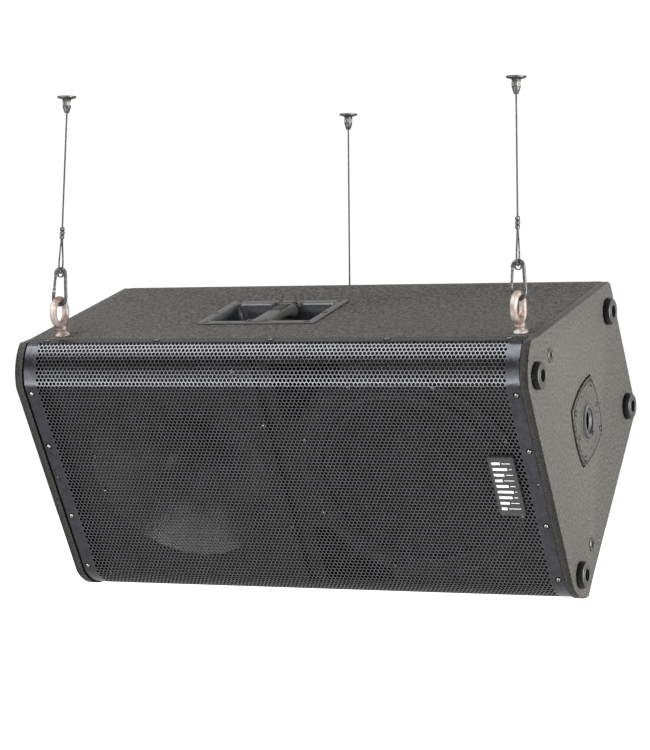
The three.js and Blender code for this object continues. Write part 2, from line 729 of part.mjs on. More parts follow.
function arcPoints(radius, centreZ, fromDegrees, toDegrees, count) {
  return Array.from({ length: count + 1 }, (_, i) => {
    const angle = (fromDegrees + ((toDegrees - fromDegrees) * i) / count) * RAD;
    return [radius * Math.cos(angle), 0, centreZ + radius * Math.sin(angle)];
  });
}

function snapHook() {
  const middle = (BOW_Z + TOP_Z) / 2;
  const path = [
    [leftSide(GATE_TOP_Z), 0, GATE_TOP_Z],
    ...arcPoints(HOOK_TOP, TOP_Z, 170, 0, 6),
    [-leftSide(middle), 0, middle],
    ...arcPoints(HOOK_BOTTOM, BOW_Z, 0, -175, 7),
    [leftSide(NOSE_Z), 0, NOSE_Z],
  ];
  return rod(path, HOOK_ROD, 26);
}

function hookGate() {
  const low = NOSE_Z + 3 * GAP;
  const high = GATE_TOP_Z - GAP;
  return rod([[leftSide(low), 0, low], [leftSide(high), 0, high]], HOOK_ROD - 0.2, 1, 10);
}

function eyelet() {
  const rim = HOOK_TOP - HOOK_ROD - GAP;
  const profile = [
    [EYELET_BORE, -EYELET_HALF], [rim, -EYELET_HALF], [rim, EYELET_HALF], [EYELET_BORE, EYELET_HALF],
  ];
  return turned(profile, 16).translate(0, 0, TOP_Z);
}

// The rope goes round the eyelet and back to the ferrule.
function ropeLoop() {
  const bend = TOP_Z + EYELET_BORE - ROPE - 4 * GAP;
  const side = [
    [0, 1.75, FERRULE_START - GAP], [0, 2.4, FERRULE_START - 14], [0, 4.6, FERRULE_START - 34],
    [0, 5.4, bend + 7], [0, 5, bend + 3.2], [0, 3.4, bend + 0.6],
  ];
  const back = side.map(([x, y, z]) => [x, -y, z]).reverse();
  return rod([...side, [0, 0, bend], ...back], ROPE, 28);
}

function ferrule() {
  const bands = 3;
  const band = FERRULE_LENGTH / bands;
  const profile = [[0, FERRULE_START]];
  for (let i = 0; i < bands; i += 1) {
    const z = FERRULE_START + band * i;
    profile.push([4, z], [4.9, z + 1.2], [4.9, z + band - 1.2], [4, z + band]);
  }
  profile.push([0, FERRULE_START + FERRULE_LENGTH]);
  return turnedZ(profile, 12);
}

// Hook, loop, ferrule and rope hang in a line that leans sideways from the top of an eyebolt's ring.
function hangingLine(name, top, lean) {
  const chain = new THREE.Group();
  chain.position.copy(top);
  chain.rotation.y = lean;
  group.add(chain);
  add(chain, `snap_hook_${name}`, snapHook(), zincSteel);
  add(chain, `hook_gate_${name}`, hookGate(), zincSteel);
  add(chain, `hook_eyelet_${name}`, eyelet(), zincSteel);
  add(chain, `rope_loop_${name}`, ropeLoop(), zincSteel);
  add(chain, `ferrule_${name}`, ferrule(), zincSteel);
  const ropeStart = FERRULE_START + FERRULE_LENGTH + GAP;
  const ropeEnd = (-CEILING_FITTING - GAP - top.z) / Math.cos(lean);
  add(chain, `rope_${name}`, rod([[0, 0, ropeStart], [0, 0, ropeEnd]], ROPE, 8), zincSteel);

  const fitting = turnedZ([
    [0, -CEILING_FITTING], [4, -CEILING_FITTING], [7, 10 - CEILING_FITTING],
    [7, -5], [16, -3], [16, 0], [0, 0],
  ], 24);
  fitting.translate(top.x + Math.tan(lean) * (-CEILING_FITTING - top.z), top.y, 0);
  add(group, `ceiling_fitting_${name}`, fitting, zincSteel);
}

function hangingGear() {
  for (const [name, x] of Object.entries(FRONT_EYES)) {
    add(handleSide, `eyebolt_${name}`, eyebolt().translate(x, EYE_ALONG, 0), forgedSteel);
    const centre = new THREE.Vector3(x, EYE_ALONG, EYE_HEIGHT);
    hangingLine(name, ringTop(handleSide, centre), LEANS[name]);
  }
  const rearBolt = eyebolt().rotateX(-Math.PI / 2).translate(REAR_EYE.x, DEPTH, REAR_EYE.z);
  add(cabinet, 'eyebolt_rear', rearBolt, forgedSteel);
  const rearCentre = new THREE.Vector3(REAR_EYE.x, DEPTH + EYE_HEIGHT, REAR_EYE.z);
  hangingLine('rear', ringTop(cabinet, rearCentre), LEANS.rear);
}

endPanels();
sidePanels();
rearPanel();
frontBaffle();
ports();
crossBrace();
grille();
badge();
feet();
riggingInserts();
poleSocket();
handle();
woofer();
horn();
compressionDriver();
amplifier();
hangingGear();

export default group;
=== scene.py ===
"""Looks of a stage loudspeaker that hangs on its side from three wire ropes.

Lengths are in millimetres in the drawing helpers, and every object's matrix brings them to metres.
The cabinet's own axes: x along its length, y from the grille to the back, z up the front.
"""
from math import atan2, cos, hypot, pi, radians, sin, tan

import bmesh
import bpy
import numpy as np
from mathutils import Matrix, Vector


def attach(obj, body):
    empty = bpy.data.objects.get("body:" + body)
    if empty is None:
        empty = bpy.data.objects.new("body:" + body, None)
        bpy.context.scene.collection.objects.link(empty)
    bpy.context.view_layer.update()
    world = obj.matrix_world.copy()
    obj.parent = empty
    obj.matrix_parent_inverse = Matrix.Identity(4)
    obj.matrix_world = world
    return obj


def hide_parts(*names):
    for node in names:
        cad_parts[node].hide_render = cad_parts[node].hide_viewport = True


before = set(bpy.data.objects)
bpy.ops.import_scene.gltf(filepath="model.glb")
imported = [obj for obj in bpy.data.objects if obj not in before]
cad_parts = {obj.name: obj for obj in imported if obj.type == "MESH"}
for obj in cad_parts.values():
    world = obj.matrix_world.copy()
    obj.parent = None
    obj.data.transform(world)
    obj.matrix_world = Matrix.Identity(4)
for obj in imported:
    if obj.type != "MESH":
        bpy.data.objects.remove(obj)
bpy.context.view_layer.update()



def moved(x, y, z):
    return Matrix.Translation((x, y, z))


def spun(angle, axis):
    return Matrix.Rotation(angle, 4, axis)


SCALE = Matrix.Scale(0.001, 4)
TO_Y = spun(-pi / 2, "X")  # stands a piece that was turned about z along +y

# ---------- sizes of the CAD model that the looks follow ----------

LENGTH = 900
DEPTH = 416
FRONT_HALF = 242
FRONT_EDGE = 49
TAPER = radians(17.45)
CREASE = 187.5
CREASE_START, CREASE_END = radians(15), radians(69)
DOWN_TILT = radians(33.2)
CEILING = 640
GAP = 0.3
INNER_END = 436
END_FACE = 450.3

GRILLE_SKIN = 1.5
GRILLE_END = 434
GRILLE_TAIL = 20
GRILLE_PROUD = 1.9
GRILLE_RISE = 1.6
HOLE_PITCH = 7.0
HOLE_RADIUS = 3.22
HOLE_FIELD = (410, 262)  # half the length and half the width of the perforated field

HORN_X, WOOFER_X = -208, 207
POLE_Y = 191
RIGGING_Y, RIGGING_Z = 104, 181.6
HANDLE_X, HANDLE_ALONG = -74, 191
AMP_X, AMP_FACE = 170, 416.3
CONTROL_Z = -62

EYE_ALONG = 52
EYE_HEIGHT = 40
EYE_RADIUS = 21.25
EYE_SECTION = 5.75
REAR_EYE = (-80.3, -80)
HOOK_ROD = 2.8
HOOK_BOTTOM, HOOK_TOP = 11.7, 9.1
BOW_Z, TOP_Z = 2.85, 42.45
NOSE_Z, GATE_TOP_Z = 13, 40
ROPE = 1.5
FERRULE_START, FERRULE_LENGTH = 100, 20
CEILING_FITTING = 28
LEANS = {"left": radians(2.5), "right": radians(-0.7), "rear": radians(-0.57)}

CABINET = moved(0, 0, -CEILING) @ spun(DOWN_TILT, "X")
HANDLE_SIDE = CABINET @ moved(0, FRONT_EDGE, FRONT_HALF) @ spun(-TAPER, "X")
PLAIN_SIDE = CABINET @ moved(0, FRONT_EDGE, -FRONT_HALF) @ spun(TAPER, "X") @ spun(pi, "X")
EYE_FRAMES = {
    "left": HANDLE_SIDE @ moved(-397.5, EYE_ALONG, 0),
    "right": HANDLE_SIDE @ moved(412.5, EYE_ALONG, 0),
    "rear": CABINET @ moved(REAR_EYE[0], DEPTH, REAR_EYE[1]) @ TO_Y,
}


def chain_frame(name):
    """Hook, loop, ferrule and rope hang in a line that leans sideways from the top of an eyebolt's ring."""
    top = EYE_FRAMES[name] @ Vector((0, 0, EYE_HEIGHT)) + Vector((0, 0, EYE_RADIUS))
    return moved(*top) @ spun(LEANS[name], "Y")


# ---------- camera, light and floor ----------

CAMERA_PLACE = Vector((1.9658, -4.2408, -0.4693))
CAMERA_WAY = Vector((-0.40959, 0.91227, 0.00159))
CAMERA_ROLL = 0.00057
CAMERA_LENS = 159.9
LIT_MIDDLE = Vector((0.0, 0.12, -0.62))  # the middle of the cabinet, which every softbox faces
FLOOR_REACH, FLOOR_LEVEL = 30.0, -2.3


def added(name, data):
    obj = bpy.data.objects.new(name, data)
    bpy.context.collection.objects.link(obj)
    return obj


def put(node, values):
    for socket, value in values.items():
        node.inputs[socket].default_value = value


def aim(obj, place, target, roll=0.0):
    direction = target - place
    obj.matrix_world = (moved(*place) @ direction.to_track_quat("-Z", "Y").to_matrix().to_4x4()
                        @ spun(roll, "Z"))


def camera():
    data = bpy.data.cameras.new("camera")
    data.sensor_fit = "HORIZONTAL"
    data.sensor_width = 36
    data.lens = CAMERA_LENS
    data.clip_end = 100
    obj = added("camera", data)
    aim(obj, CAMERA_PLACE, CAMERA_PLACE + CAMERA_WAY, CAMERA_ROLL)
    bpy.context.scene.camera = obj


def softbox(name, towards, distance, size, radiance, colour=(1, 1, 1)):
    """A rectangular light whose middle lies in one direction from the middle of the cabinet."""
    data = bpy.data.lights.new(name, "AREA")
    data.shape = "RECTANGLE"
    data.size, data.size_y = size
    data.energy = radiance * pi * size[0] * size[1]
    data.color = colour
    obj = added(name, data)
    aim(obj, LIT_MIDDLE + Vector(towards).normalized() * distance, LIT_MIDDLE)
    obj.visible_camera = False


def studio():
    softbox("overhead", (-0.41, -0.54, 0.72), 2.2, (2.2, 1.1), 9.6)
    softbox("right_key", (0.97, -0.20, 0.08), 2.4, (1.8, 1.8), 14.0, (1.0, 0.985, 0.96))
    softbox("low_front", (-0.41, -0.84, -0.30), 2.2, (2.2, 0.36), 11.0)
    softbox("front_wash", (-0.41, -0.88, -0.12), 2.6, (2.6, 1.2), 4.0)
    world = bpy.data.worlds.new("studio")
    bpy.context.scene.world = world
    world.use_nodes = True
    nodes, links = world.node_tree.nodes, world.node_tree.links
    nodes.clear()
    out = nodes.new("ShaderNodeOutputWorld")
    coordinate = nodes.new("ShaderNodeTexCoord")
    split = nodes.new("ShaderNodeSeparateXYZ")
    ramp = nodes.new("ShaderNodeMapRange")
    ramp.interpolation_type = "SMOOTHSTEP"
    put(ramp, {"From Min": -0.75, "From Max": 0.55, "To Min": 0.42, "To Max": 0.85})
    soft = nodes.new("ShaderNodeBackground")
    plain = nodes.new("ShaderNodeBackground")  # what the camera sees behind the floor
    put(plain, {"Strength": 1.05, "Color": (1, 1, 1, 1)})
    put(soft, {"Color": (1, 0.99, 0.975, 1)})
    path = nodes.new("ShaderNodeLightPath")
    mix = nodes.new("ShaderNodeMixShader")
    links.new(coordinate.outputs["Generated"], split.inputs[0])
    links.new(split.outputs["Y"], ramp.inputs["Value"])
    links.new(ramp.outputs["Result"], soft.inputs["Strength"])
    links.new(path.outputs["Is Camera Ray"], mix.inputs[0])
    links.new(soft.outputs[0], mix.inputs[1])
    links.new(plain.outputs[0], mix.inputs[2])
    links.new(mix.outputs[0], out.inputs[0])
    bpy.context.scene.view_settings.view_transform = "Standard"
    bpy.context.scene.view_settings.look = "None"


def floor():
    far, level = FLOOR_REACH, FLOOR_LEVEL
    mesh = bpy.data.meshes.new("floor")
    mesh.from_pydata([(-far, -far, level), (far, -far, level), (far, far, level), (-far, far, level)], [],
                     [(0, 1, 2, 3)])
    obj = added("floor", mesh)
    material = bpy.data.materials.new("floor")
    material.use_nodes = True
    shader = material.node_tree.nodes["Principled BSDF"]
    put(shader, {"Base Color": (0.72, 0.72, 0.72, 1), "Roughness": 0.9, "Emission Color": (1, 1, 1, 1)})
    path = material.node_tree.nodes.new("ShaderNodeLightPath")
    material.node_tree.links.new(path.outputs["Is Camera Ray"], shader.inputs["Emission Strength"])
    mesh.materials.append(material)


# ---------- materials ----------

def surface(name, dark, light, roughness, metallic=0.0, patch=30.0, grain=(), stretch=(1, 1, 1), wear_and_sheen=None,
            specular=0.5, coat=0.0, mottle=0.18):
    """A finish that wanders between two colours and two roughnesses, with one or two layers of fine relief.

    patch is how many colour patches there are to a metre, and each grain is (features to a metre, depth in
    metres, strength). The colour given for the edges is paler and shows along them: real wear, and on the
    forged steel also a painted highlight. A small mottle makes the colour patches hard-edged.
    """
    material = bpy.data.materials.new(name)
    material.use_nodes = True
    nodes, links = material.node_tree.nodes, material.node_tree.links
    shader = nodes["Principled BSDF"]
    put(shader, {"Metallic": metallic, "Specular IOR Level": specular, "Coat Weight": coat,
                 "Coat Roughness": 0.2})
    place = nodes.new("ShaderNodeTexCoord")
    mapping = nodes.new("ShaderNodeMapping")
    put(mapping, {"Scale": stretch})
    links.new(place.outputs["Object"], mapping.inputs["Vector"])

    def noise(scale, detail=3.0, rough=0.55):
        node = nodes.new("ShaderNodeTexNoise")
        put(node, {"Scale": scale, "Detail": detail, "Roughness": rough})
        links.new(mapping.outputs[0], node.inputs["Vector"])
        return node.outputs["Fac"]

    def spread(value, low, high, start=0.32, end=0.68):
        node = nodes.new("ShaderNodeMapRange")
        put(node, {"From Min": start, "From Max": end, "To Min": low, "To Max": high})
        links.new(value, node.inputs["Value"])
        return node.outputs["Result"]

    def blend(amount, first, second):
        node = nodes.new("ShaderNodeMix")
        node.data_type = "RGBA"
        links.new(amount, node.inputs[0])
        for socket, colour in ((6, first), (7, second)):
            if isinstance(colour, tuple):
                node.inputs[socket].default_value = (*colour, 1)
            else:
                links.new(colour, node.inputs[socket])
        return node.outputs[2]

    colour = blend(spread(noise(patch), 0, 1, 0.5 - mottle, 0.5 + mottle), dark, light)
    if wear_and_sheen:
        geometry = nodes.new("ShaderNodeNewGeometry")
        edges = spread(geometry.outputs["Pointiness"], 0, 1, 0.53, 0.60)
        edge_wear_and_sheen = nodes.new("ShaderNodeMath")
        edge_wear_and_sheen.operation = "MULTIPLY"
        links.new(edges, edge_wear_and_sheen.inputs[0])
        links.new(spread(noise(patch * 6), 0, 1, 0.42, 0.6), edge_wear_and_sheen.inputs[1])
        colour = blend(edge_wear_and_sheen.outputs[0], colour, wear_and_sheen)
    links.new(colour, shader.inputs["Base Color"])
    links.new(spread(noise(patch * 4, 5.0), *roughness), shader.inputs["Roughness"])
    normal = None
    for scale, depth, strength in grain:
        bump = nodes.new("ShaderNodeBump")
        put(bump, {"Distance": depth, "Strength": strength})
        links.new(noise(scale, 2.0, 0.5), bump.inputs["Height"])
        if normal:
            links.new(normal, bump.inputs["Normal"])
        normal = bump.outputs["Normal"]
    if normal:
        links.new(normal, shader.inputs["Normal"])
    return material


PAINT_GRAIN = ((260, 0.0050, 0.95), (520, 0.0018, 0.8))
END_GRAIN = ((300, 0.0034, 0.9), (700, 0.0010, 0.7))
SHEET_GRAIN = ((900, 0.0002, 0.35),)
PLASTIC_GRAIN = ((900, 0.0002, 0.3),)
RUBBER_GRAIN = ((700, 0.0003, 0.4),)
PAINT_WEAR = (0.10, 0.095, 0.09)

paint = surface("cabinet_paint", (0.018, 0.0172, 0.016), (0.088, 0.0834, 0.077), (0.55, 0.80), patch=190,
                mottle=0.08, grain=PAINT_GRAIN, wear_and_sheen=PAINT_WEAR, specular=0.12)
end_paint = surface("cabinet_paint_ends", (0.034, 0.0328, 0.0308), (0.074, 0.0713, 0.0674), (0.50, 0.72),
                    patch=300, mottle=0.09, grain=END_GRAIN, stretch=(1, 1, 0.7), wear_and_sheen=PAINT_WEAR,
                    specular=0.2)
# a darker copy of the cabinet paint for the end panels' front edges: painted shade
shaded_edge_paint = surface("cabinet_paint_edges_shaded", (0.001, 0.001, 0.001), (0.013, 0.0127, 0.0124), (0.26, 0.44),
                     patch=260, mottle=0.10, grain=((300, 0.0026, 0.8),), wear_and_sheen=(0.07, 0.068, 0.066),
                     specular=0.08)
wood = surface("inner_wood", (0.006, 0.0055, 0.005), (0.012, 0.011, 0.010), (0.7, 0.9), patch=60,
               stretch=(0.12, 1, 1), grain=((400, 0.0004, 0.5),), specular=0.2)
grille_steel = surface("grille_steel", (0.066, 0.067, 0.071), (0.080, 0.082, 0.088), (0.22, 0.30), 0.85,
                       patch=30, grain=SHEET_GRAIN, specular=0.3)
# a darker copy of the grille steel for the tail on the long sides: painted shade
shaded_tail_steel = surface("grille_steel_tail_shaded", (0.006, 0.0065, 0.009), (0.013, 0.014, 0.018), (0.35, 0.5), 0.2,
                     patch=70, grain=SHEET_GRAIN, specular=0.15)
# a darker copy of the grille steel for the plain cells round the field: painted shade
shaded_flange_steel = surface("grille_steel_flange_shaded", (0.028, 0.029, 0.032), (0.044, 0.045, 0.050), (0.20, 0.30),
                       0.85, patch=70, grain=SHEET_GRAIN, specular=0.3)
horn_plastic = surface("horn_plastic", (0.004, 0.004, 0.0045), (0.008, 0.008, 0.009), (0.30, 0.42), patch=60,
                       grain=PLASTIC_GRAIN, specular=0.2)
# a lighter copy of the horn plastic inside the flare: a painted highlight
lit_flare_plastic = surface("horn_plastic_flare_lit", (0.012, 0.012, 0.0125), (0.020, 0.020, 0.021), (0.20, 0.30),
                        patch=60, grain=PLASTIC_GRAIN)
frame_enamel = surface("frame_enamel", (0.007, 0.007, 0.008), (0.014, 0.014, 0.015), (0.35, 0.5), patch=90,
                       grain=((800, 0.0003, 0.4),), specular=0.2)
moulding = surface("moulding", (0.042, 0.0418, 0.0412), (0.066, 0.0654, 0.0642), (0.40, 0.58), patch=140,
                   grain=((1100, 0.0003, 0.5),), wear_and_sheen=(0.06, 0.06, 0.06), specular=0.2)
# a darker copy of the moulding for the handle's pocket: painted shade in the recess
shaded_pocket_moulding = surface("moulding_pocket_shaded", (0.004, 0.005, 0.007), (0.010, 0.0115, 0.014), (0.24, 0.36),
                          patch=60, grain=((900, 0.0003, 0.4),), specular=0.4)
rubber = surface("foot_rubber", (0.002, 0.002, 0.0022), (0.007, 0.007, 0.0075), (0.24, 0.4), patch=200,
                 grain=RUBBER_GRAIN, specular=0.12)
rubber_face = surface("foot_rubber_face", (0.016, 0.016, 0.0165), (0.034, 0.034, 0.035), (0.34, 0.5),
                      patch=200, grain=RUBBER_GRAIN)
badge_metal = surface("badge_metal", (0.010, 0.010, 0.012), (0.018, 0.018, 0.021), (0.25, 0.38), 0.3,
                      patch=150, grain=PLASTIC_GRAIN, coat=0.3)
badge_pale = surface("badge_marks", (0.62, 0.63, 0.65), (0.75, 0.76, 0.78), (0.3, 0.45), 0.2, patch=200)
# the pale edge colour here is partly wear and partly a painted highlight on the ring's edges
forged = surface("forged_steel", (0.125, 0.078, 0.058), (0.33, 0.30, 0.275), (0.42, 0.66), 0.45, patch=34,
                 mottle=0.10, grain=((350, 0.0008, 0.6), (1200, 0.0003, 0.5)), wear_and_sheen=(0.55, 0.52, 0.48))
zinc = surface("zinc_steel", (0.030, 0.030, 0.032), (0.095, 0.092, 0.090), (0.28, 0.5), 0.8, patch=220,
               grain=((900, 0.0002, 0.5),), wear_and_sheen=(0.22, 0.21, 0.20))
screw_steel = surface("screw_steel", (0.15, 0.145, 0.14), (0.34, 0.33, 0.32), (0.16, 0.30), 0.95, patch=500)
rope_steel = surface("rope_steel", (0.030, 0.028, 0.027), (0.062, 0.058, 0.055), (0.34, 0.5), 0.7, patch=260)
alloy = surface("cast_alloy", (0.055, 0.056, 0.060), (0.085, 0.086, 0.090), (0.38, 0.55), 0.6, patch=120,
                grain=((800, 0.0004, 0.5),), wear_and_sheen=(0.16, 0.16, 0.165))
magnet_steel = surface("magnet_steel", (0.06, 0.06, 0.062), (0.12, 0.12, 0.122), (0.35, 0.5), 0.8, patch=80)
paper = surface("cone_paper", (0.004, 0.004, 0.0045), (0.009, 0.009, 0.0095), (0.6, 0.8), patch=160,
                grain=((500, 0.0005, 0.7),), specular=0.2)
roll_rubber = surface("surround_rubber", (0.004, 0.004, 0.005), (0.008, 0.008, 0.009), (0.40, 0.55), patch=90,
                      grain=((600, 0.0002, 0.3),), specular=0.2)
# a near-black finish of painted shade, put in holes, gaps, wells and rings round heads where shade falls
painted_shade = surface("painted_shade_recess", (0.0015, 0.0015, 0.0015), (0.004, 0.004, 0.0045), (0.8, 0.95), patch=150,
                    specular=0.04)
lamp_green = surface("lamp_lens", (0.03, 0.12, 0.05), (0.04, 0.18, 0.07), (0.1, 0.2), patch=200, coat=0.6)

# ---------- mesh helpers: each shape is a pair of a point array and a list of faces ----------

def placed(shape, matrix):
    points, faces = shape
    return np.asarray(points, float) @ np.array(matrix)[:3, :3].T + np.array(matrix)[:3, 3], faces


def merged(shapes):
    points, faces, start = [], [], 0
    for shape_points, shape_faces in shapes:
        points.append(np.asarray(shape_points, float).reshape(-1, 3))
        faces.extend([tuple(i + start for i in face) for face in shape_faces])
        start += len(points[-1])
    return np.concatenate(points), faces


def copies(shape, matrices):
    return merged([placed(shape, matrix) for matrix in matrices])


def lofted(rings, close_start=True, close_end=True, around=True):
    """A skin through rings of equally many points. A closed end gets one face."""
    count = len(rings[0])
    points = np.concatenate([np.asarray(ring, float) for ring in rings])
    faces = []
    for i in range(len(rings) - 1):
        for j in range(count if around else count - 1):
            a, b = i * count + j, i * count + (j + 1) % count
            faces.append((a, b, b + count, a + count))
    if close_start:
        faces.append(tuple(range(count - 1, -1, -1)))
    if close_end:
        last = (len(rings) - 1) * count
        faces.append(tuple(range(last, last + count)))
    return points, faces


def ring_at(radius, height, angles):
    """Points round z. The radius is one number, or one for each angle."""
    level = np.full(len(angles), float(height))
    return np.stack([radius * np.cos(angles), radius * np.sin(angles), level], 1)


def turned(profile, segments=48):
    """A turned piece about z from (radius, height) points that go anticlockwise: outwards low, inwards high.

    The profile starts and ends on the axis, or closes on itself."""
    angles = 2 * pi * np.arange(segments) / segments
    on_axis = profile[0][0] == 0 and profile[-1][0] == 0
    points, faces = lofted([ring_at(r, h, angles) for r, h in (profile[1:-1] if on_axis else profile)],
                           False, False)
    last, start, end = len(points) - segments, len(points), len(points) + 1
    around = [(j, (j + 1) % segments) for j in range(segments)]
    if not on_axis:
        return points, faces + [(last + j, last + k, k, j) for j, k in around]
    points = np.vstack([points, [(0, 0, profile[0][1]), (0, 0, profile[-1][1])]])
    return points, faces + [face for j, k in around for face in ((start, k, j), (last + j, last + k, end))]


def smooth_path(stops, steps):
    """Points along a curve through the stops, as a centripetal Catmull-Rom spline."""
    stops = [np.array(stop, float) for stop in stops]
    stops = [2 * stops[0] - stops[1], *stops, 2 * stops[-1] - stops[-2]]
    path = []
    for a, b, c, d in zip(stops, stops[1:], stops[2:], stops[3:]):
        t1 = np.linalg.norm(b - a) ** 0.5
        t2 = t1 + np.linalg.norm(c - b) ** 0.5
        t3 = t2 + np.linalg.norm(d - c) ** 0.5
        for t in np.linspace(t1, t2, steps, endpoint=False):
            ab = a + (b - a) * (t / t1)
            bc = b + (c - b) * ((t - t1) / (t2 - t1))
            cd = c + (d - c) * ((t - t2) / (t3 - t2))
            abc = ab + (bc - ab) * (t / t2)
            bcd = bc + (cd - bc) * ((t - t1) / (t3 - t1))
            path.append(abc + (bcd - abc) * ((t - t1) / (t2 - t1)))
    return np.array([*path, stops[-2]])


def swept(path, radius, sides=12, lobes=0, lay=0.0):
    """A rod along a path. Its section has lobes, like a rope's strands, that turn by lay radians to a mm."""
    path = np.asarray(path, float)
    directions = np.gradient(path, axis=0)
    directions /= np.linalg.norm(directions, axis=1)[:, None]
    side = np.cross(directions[0], (0.0, 0.0, 1.0))
    if np.linalg.norm(side) < 0.1:
        side = np.cross(directions[0], (1.0, 0.0, 0.0))
    radii = np.broadcast_to(np.asarray(radius, float), len(path))
    angles = 2 * pi * np.arange(sides) / sides
    bulge = 1 - 0.16 * (1 - np.abs(np.cos(lobes * angles / 2))) if lobes else np.ones(sides)
    rings, run = [], 0.0
    for i, (point, direction) in enumerate(zip(path, directions)):
        side = side - direction * side.dot(direction)
        side /= np.linalg.norm(side)
        up = np.cross(direction, side)
        if i:
            run += np.linalg.norm(point - path[i - 1])
        turn = angles + run * lay
        rings.append(point + radii[i] * bulge[:, None] * (np.outer(np.cos(turn), side)
                                                          + np.outer(np.sin(turn), up)))
    return lofted(rings)


def belt(rings):
    """A ring-shaped skin: like a loft, but the last ring joins the first one."""
    return lofted([*rings, rings[0]], False, False)


def block(size, centre, bevel=0.6, steps=2):
    bm = bmesh.new()
    bmesh.ops.create_cube(bm, size=1.0)
    bmesh.ops.scale(bm, vec=size, verts=bm.verts)
    bmesh.ops.bevel(bm, geom=list(bm.edges), offset=bevel, segments=steps, affect="EDGES", profile=0.5)
    bmesh.ops.translate(bm, vec=centre, verts=bm.verts)
    return taken(bm)


def taken(bm):
    bm.verts.ensure_lookup_table()
    bm.verts.index_update()
    shape = np.array([v.co for v in bm.verts]), [tuple(v.index for v in f.verts) for f in bm.faces]
    bm.free()
    return shape


def rounded_ring(half_x, half_y, corner, z, per_corner=10):
    """Points round a rectangle with round corners."""
    ring = []
    for k, (sx, sy) in enumerate([(1, 1), (-1, 1), (-1, -1), (1, -1)]):
        for t in np.linspace(0, pi / 2, per_corner):
            angle = t + k * pi / 2
            ring.append((sx * (half_x - corner) + corner * cos(angle),
                         sy * (half_y - corner) + corner * sin(angle), z))
    return ring


def piece(name, shape, frame_matrix, material, body="cabinet", replaces=None, crease=32.0):
    """A finished Blender object from a shape in millimetres in one of the frames."""
    points, faces = placed(shape, SCALE @ frame_matrix)
    mesh = bpy.data.meshes.new(name)
    mesh.from_pydata([tuple(p) for p in points], [], faces)
    mesh.validate()
    bm = bmesh.new()
    bm.from_mesh(mesh)
    bmesh.ops.recalc_face_normals(bm, faces=bm.faces)
    bm.to_mesh(mesh)
    bm.free()
    mesh.shade_smooth()
    mesh.set_sharp_from_angle(angle=radians(crease))
    mesh.materials.append(material)
    obj = added(name, mesh)
    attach(obj, body)
    if replaces:
        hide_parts(replaces)
    return obj


def refinish(obj, frame_matrix, finishes, pick):
    """Gives a piece further finishes, 1 and up, where pick says so.

    pick is given a face's middle, in millimetres in the frame, and the face itself."""
    for material in finishes:
        obj.data.materials.append(material)
    into_frame = (SCALE @ frame_matrix).inverted()
    for face in obj.data.polygons:
        face.material_index = int(pick(into_frame @ face.center, face))


def softened(node, width, steps, pick, frame_matrix=CABINET):
    """A CAD node's shape, in millimetres in a frame, with the picked sharp edges rounded.

    pick is given the middle of an edge and says whether it is rounded."""
    bm = bmesh.new()
    bm.from_mesh(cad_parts[node].data)
    bmesh.ops.transform(bm, matrix=(frame_matrix.inverted() @ SCALE.inverted()), verts=bm.verts)
    bmesh.ops.remove_doubles(bm, verts=bm.verts, dist=0.01)
    bmesh.ops.dissolve_limit(bm, angle_limit=radians(1.0), verts=bm.verts, edges=bm.edges)
    edges = [e for e in bm.edges if len(e.link_faces) == 2 and e.calc_face_angle(0) > radians(20)
             and pick((e.verts[0].co + e.verts[1].co) / 2)]
    if edges:
        bmesh.ops.bevel(bm, geom=edges, offset=width, segments=steps, affect="EDGES", profile=0.5,
                        clamp_overlap=True)
    bmesh.ops.recalc_face_normals(bm, faces=bm.faces)
    return taken(bm)


def unsoftened(node, frame_matrix):
    """A CAD node's shape, in millimetres in a frame, with its edges as they are."""
    return softened(node, 0, 1, lambda middle: False, frame_matrix)


def finish_node(node, material):
    """A CAD node whose shape is right gets its finish."""
    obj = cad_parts[node]
    for material_slot in obj.material_slots:
        material_slot.material = material


# ---------- hanging gear: the ropes come first ----------

def hook_left_side(z):
    share = (z - BOW_Z) / (TOP_Z - BOW_Z)
    return -(HOOK_BOTTOM + (HOOK_TOP - HOOK_BOTTOM) * share)


def arc(radius, centre_z, start, end, count):
    angles = np.radians(np.linspace(start, end, count + 1))
    return [(radius * cos(a), 0, centre_z + radius * sin(a)) for a in angles]


FERRULE_BAND = ((0.02, 0.74), (0.14, 0.92), (0.32, 1.0), (0.68, 1.0), (0.86, 0.92), (0.98, 0.74))


def ferrule_shape():
    """Three crimped bands, each pressed flat across the two ropes and turned a little from the last."""
    rings = []
    band = FERRULE_LENGTH / 3
    angles = 2 * pi * np.arange(28) / 28
    for i, (turn, shift) in enumerate([(0.16, -0.25), (-0.12, 0.3), (0.08, -0.1)]):
        for share, size in FERRULE_BAND:
            x, y = 3.9 * size * np.cos(angles), 4.8 * size * np.sin(angles)
            z = FERRULE_START + band * (i + share) + 0.5 * np.sin(angles + i)
            turned_x, turned_y = x * cos(turn) - y * sin(turn), x * sin(turn) + y * cos(turn)
            rings.append(np.stack([turned_x, turned_y + shift, z], 1))
    return lofted(rings)


def eyelet_shape():
    rim, half = HOOK_TOP - HOOK_ROD - GAP, 2.4
    profile = [(4.0, -1.5), (4.3, -2.0), (5.0, -half), (5.7, -half), (rim, -2.0), (5.5, -0.9), (5.3, 0),
               (5.5, 0.9), (rim, 2.0), (5.7, half), (5.0, half), (4.3, 2.0), (4.0, 1.5)]
    return placed(turned(profile, 40), moved(0, 0, TOP_Z) @ TO_Y)


